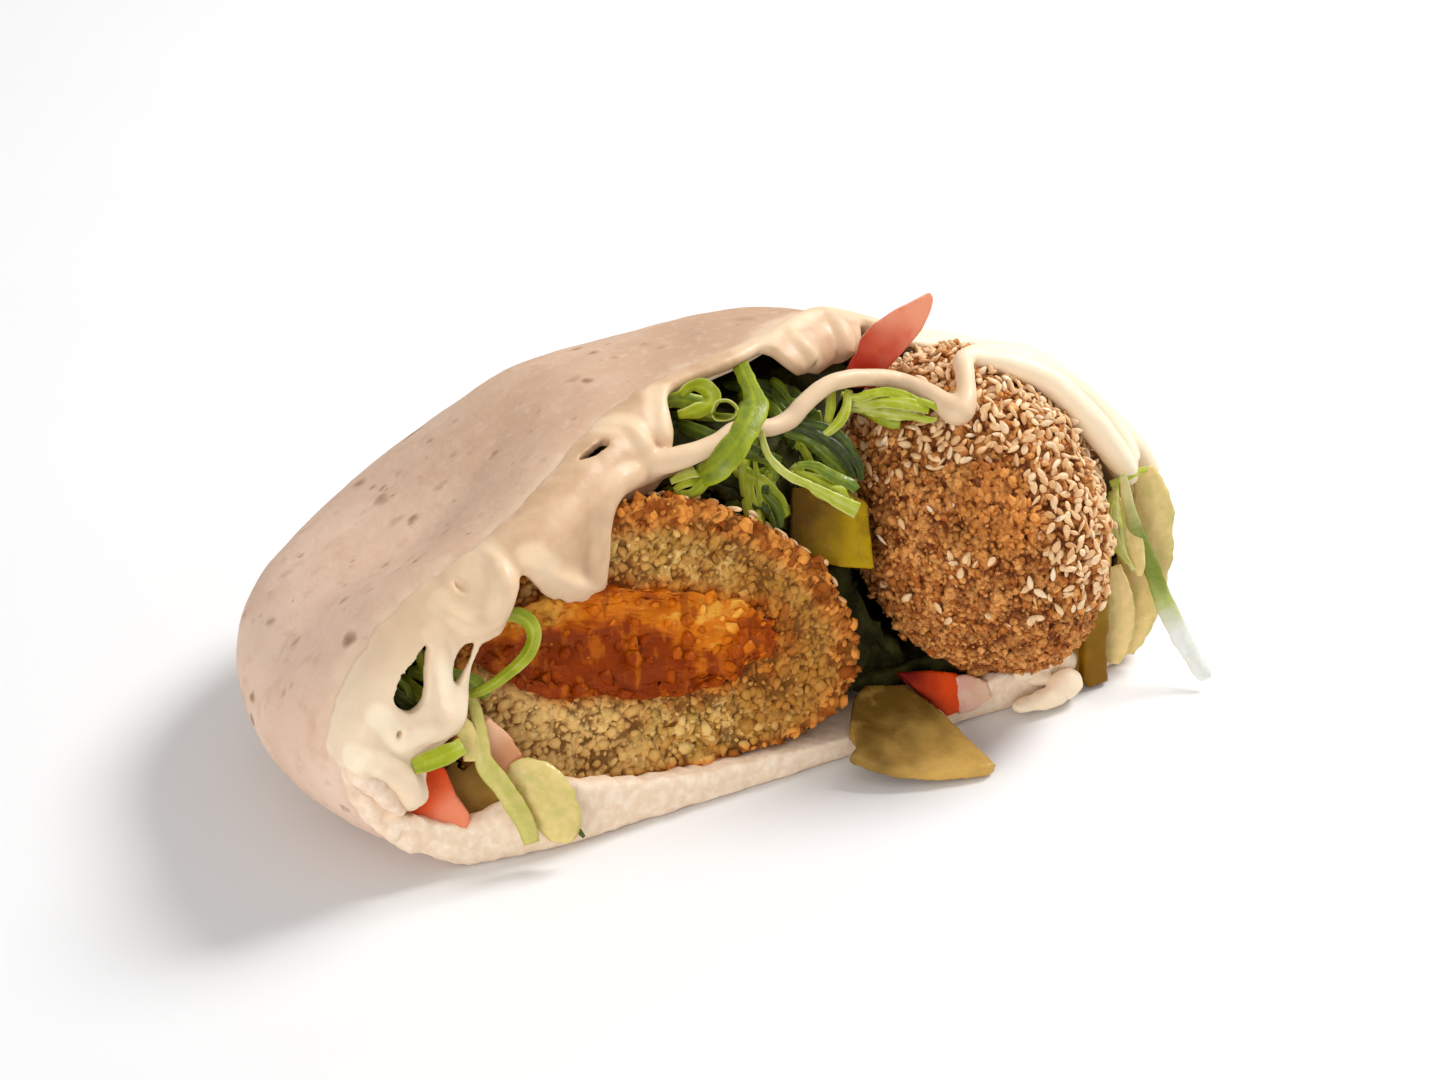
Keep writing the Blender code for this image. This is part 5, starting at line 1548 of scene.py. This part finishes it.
def make_slice(name, node, paint, toward, thickness, corners, salt):
    """A cut piece with crisp edges. Its tone rises along the direction toward."""
    solid = slab(corners, thickness) if corners else node_shell(node)
    shell = fused([solid], voxel=0.4).smooth(2)
    fine, broad = rough(shell.points, 1.8, 2, 70 + salt), rough(shell.points, 6, 2, 75 + salt)
    shell.push(0.04 * fine + 0.10 * broad)
    along = shell.points @ unit(np.array(toward, float))
    tone = ease(along, along.min(), along.max()) + 0.2 * rough(shell.points, 5, 2, 80 + salt)
    marks = {"tone": np.clip(tone, 0, 1)}
    add_piece(name, shell, paint, marks, [node] if node else ())


def make_drop():
    """The drop of tahini on the table and the smears on the bread above it."""
    paint = sauce_paint(marked=False)
    pieces = (("tahini_drop_flow", DROP, ["tahini_drop"]), ("tahini_smears", SMEARS, ()))
    for name, table, node in pieces:
        shell = fused([ellipsoid(row[:3], row[3:]) for row in table], voxel=0.35).smooth(4)
        shell.push(0.22 * rough(shell.points, 2.6, 3, 85))
        add_piece(name, shell, paint, None, node)


def make_strand():
    """The shred that hangs down to the table: a green leaf edge that turns to a clear stalk."""
    shell = ribbon(STRAND, cup=0.3, frill=0.0, salt=450, thickness=0.6)
    height = shell.points[:, 2] + 0.8 * rough(shell.points, 3, 2, 451)
    tone = np.interp(height, (8.5, 13.5, 17, 26, 33), (1, 0.66, 0.36, 0.30, 0))
    shades = ((0.62, 0.58, 0.24), (0.20, 0.25, 0.022), (0.45, 0.50, 0.14), (0.82, 0.84, 0.78))
    paint = leaf_paint("strand", shades)
    add_piece("lettuce_strand_leaf", shell, paint, {"tone": tone}, ["lettuce_strand"])


def make_core():
    """The heart of the salad, inside the CAD heap, painted near black as shade."""
    shell = fused([node_shell("salad_heap")], voxel=2.0).smooth(2)
    shell.push(-2.6 + 1.2 * rough(shell.points, 6, 3, 91))
    shell.push(np.full(len(shell.points), -0.6))
    # The piece keeps under the crown's fall. The shreds are placed on the heap as it was.
    upright = shell.points.copy()
    shell.points[:, 2] = fallen(*upright.T)
    shell.push(-1.5 * ease(-upright[:, 0], FALL_START, FALL_END))
    add_piece("salad_core", shell, core_paint(), None, ["salad_heap"])
    shell.points = upright
    return shell


# ---------------------------------------------------------------- stage


def make_stage():
    """The floor."""
    bm = bmesh.new()
    bmesh.ops.create_grid(bm, x_segments=8, y_segments=8, size=3.0)
    mesh = bpy.data.meshes.new("floor")
    bm.to_mesh(mesh)
    bm.free()
    paint = Paint("floor", 0.6, Specular_IOR_Level=0.2)
    shade = paint.mix(paint.noise(60, 2), (0.86, 0.86, 0.86), (0.88, 0.88, 0.88))
    mesh.materials.append(paint.finish(shade))
    floor = bpy.data.objects.new("floor", mesh)
    bpy.context.scene.collection.objects.link(floor)


def add_light(name, direction, distance, size, power):
    light = bpy.data.lights.new(name, "AREA")
    light.shape = "DISK"
    light.size = size
    light.energy = power
    obj = bpy.data.objects.new(name, light)
    heading = Vector(direction).normalized()
    obj.location = Vector(LIGHT_TARGET) + heading * distance
    obj.rotation_euler = heading.to_track_quat("Z", "Y").to_euler()
    bpy.context.scene.collection.objects.link(obj)


def make_lights():
    """A white world and two soft lights."""
    world = bpy.data.worlds.new("studio")
    bpy.context.scene.world = world
    world.use_nodes = True
    background = world.node_tree.nodes["Background"]
    background.inputs["Color"].default_value = (1, 1, 1, 1)
    background.inputs["Strength"].default_value = 0.50
    add_light("key", (0.9, 0.1, 0.9), distance=1.0, size=0.4, power=9.5)
    add_light("fill", (-0.85, -0.6, 0.28), distance=1.2, size=0.8, power=5.8)


def make_camera():
    """The camera, which looks from the front left and a little down."""
    azimuth, elevation, distance = math.radians(-30), math.radians(28), 0.56
    target = Vector((0.005, 0.008, 0.025))
    back = Vector(
        (
            math.sin(azimuth) * math.cos(elevation),
            -math.cos(azimuth) * math.cos(elevation),
            math.sin(elevation),
        )
    )
    camera = bpy.data.cameras.new("camera")
    camera.lens = 85
    camera.sensor_width = 36
    camera.clip_start = 0.01
    obj = bpy.data.objects.new("camera", camera)
    obj.location = target + back * distance
    obj.rotation_mode = "QUATERNION"
    obj.rotation_quaternion = (-back).to_track_quat("-Z", "Y")
    bpy.context.scene.collection.objects.link(obj)
    bpy.context.scene.camera = obj


def main():
    bpy.context.scene.view_settings.view_transform = "Standard"
    make_stage()
    make_lights()
    make_camera()
    make_bread()
    # The crust's last colour is the painted shade in its creases and pores.
    crust = crust_paint("crust", (0.92, 0.43, 0.12), (0.45, 0.125, 0.016), (0.13, 0.026, 0.003))
    whole, directions, bare = make_whole_falafel(crust)
    cut, on_face = make_cut_falafel()
    filling = make_filling()
    make_crumbs(cut, on_face, filling)
    make_sesame(whole, directions, bare, cut, on_face)
    make_sauce()
    core = make_core()
    leaf, pale = leaf_paint("leaf", LEAF_SHADES), leaf_paint("pale_leaf", PALE_SHADES, 0.3, 0.12)
    make_shreds("lettuce_shreds", SHREDS, leaf)
    make_shreds("lettuce_heap", (), leaf, heap_shreds(core, count=72, seed=71))
    make_shreds("lettuce_pale", PALE_SHREDS, pale)
    make_strand()
    for number, row in enumerate(SLICES + CHUNKS):
        name, node, slot, thickness, one, two, spot, toward, corners = row
        paint = wet_paint(name, one, two, spot)
        make_slice(name, node, paint, toward, thickness, corners, number)
    make_drop()


main()
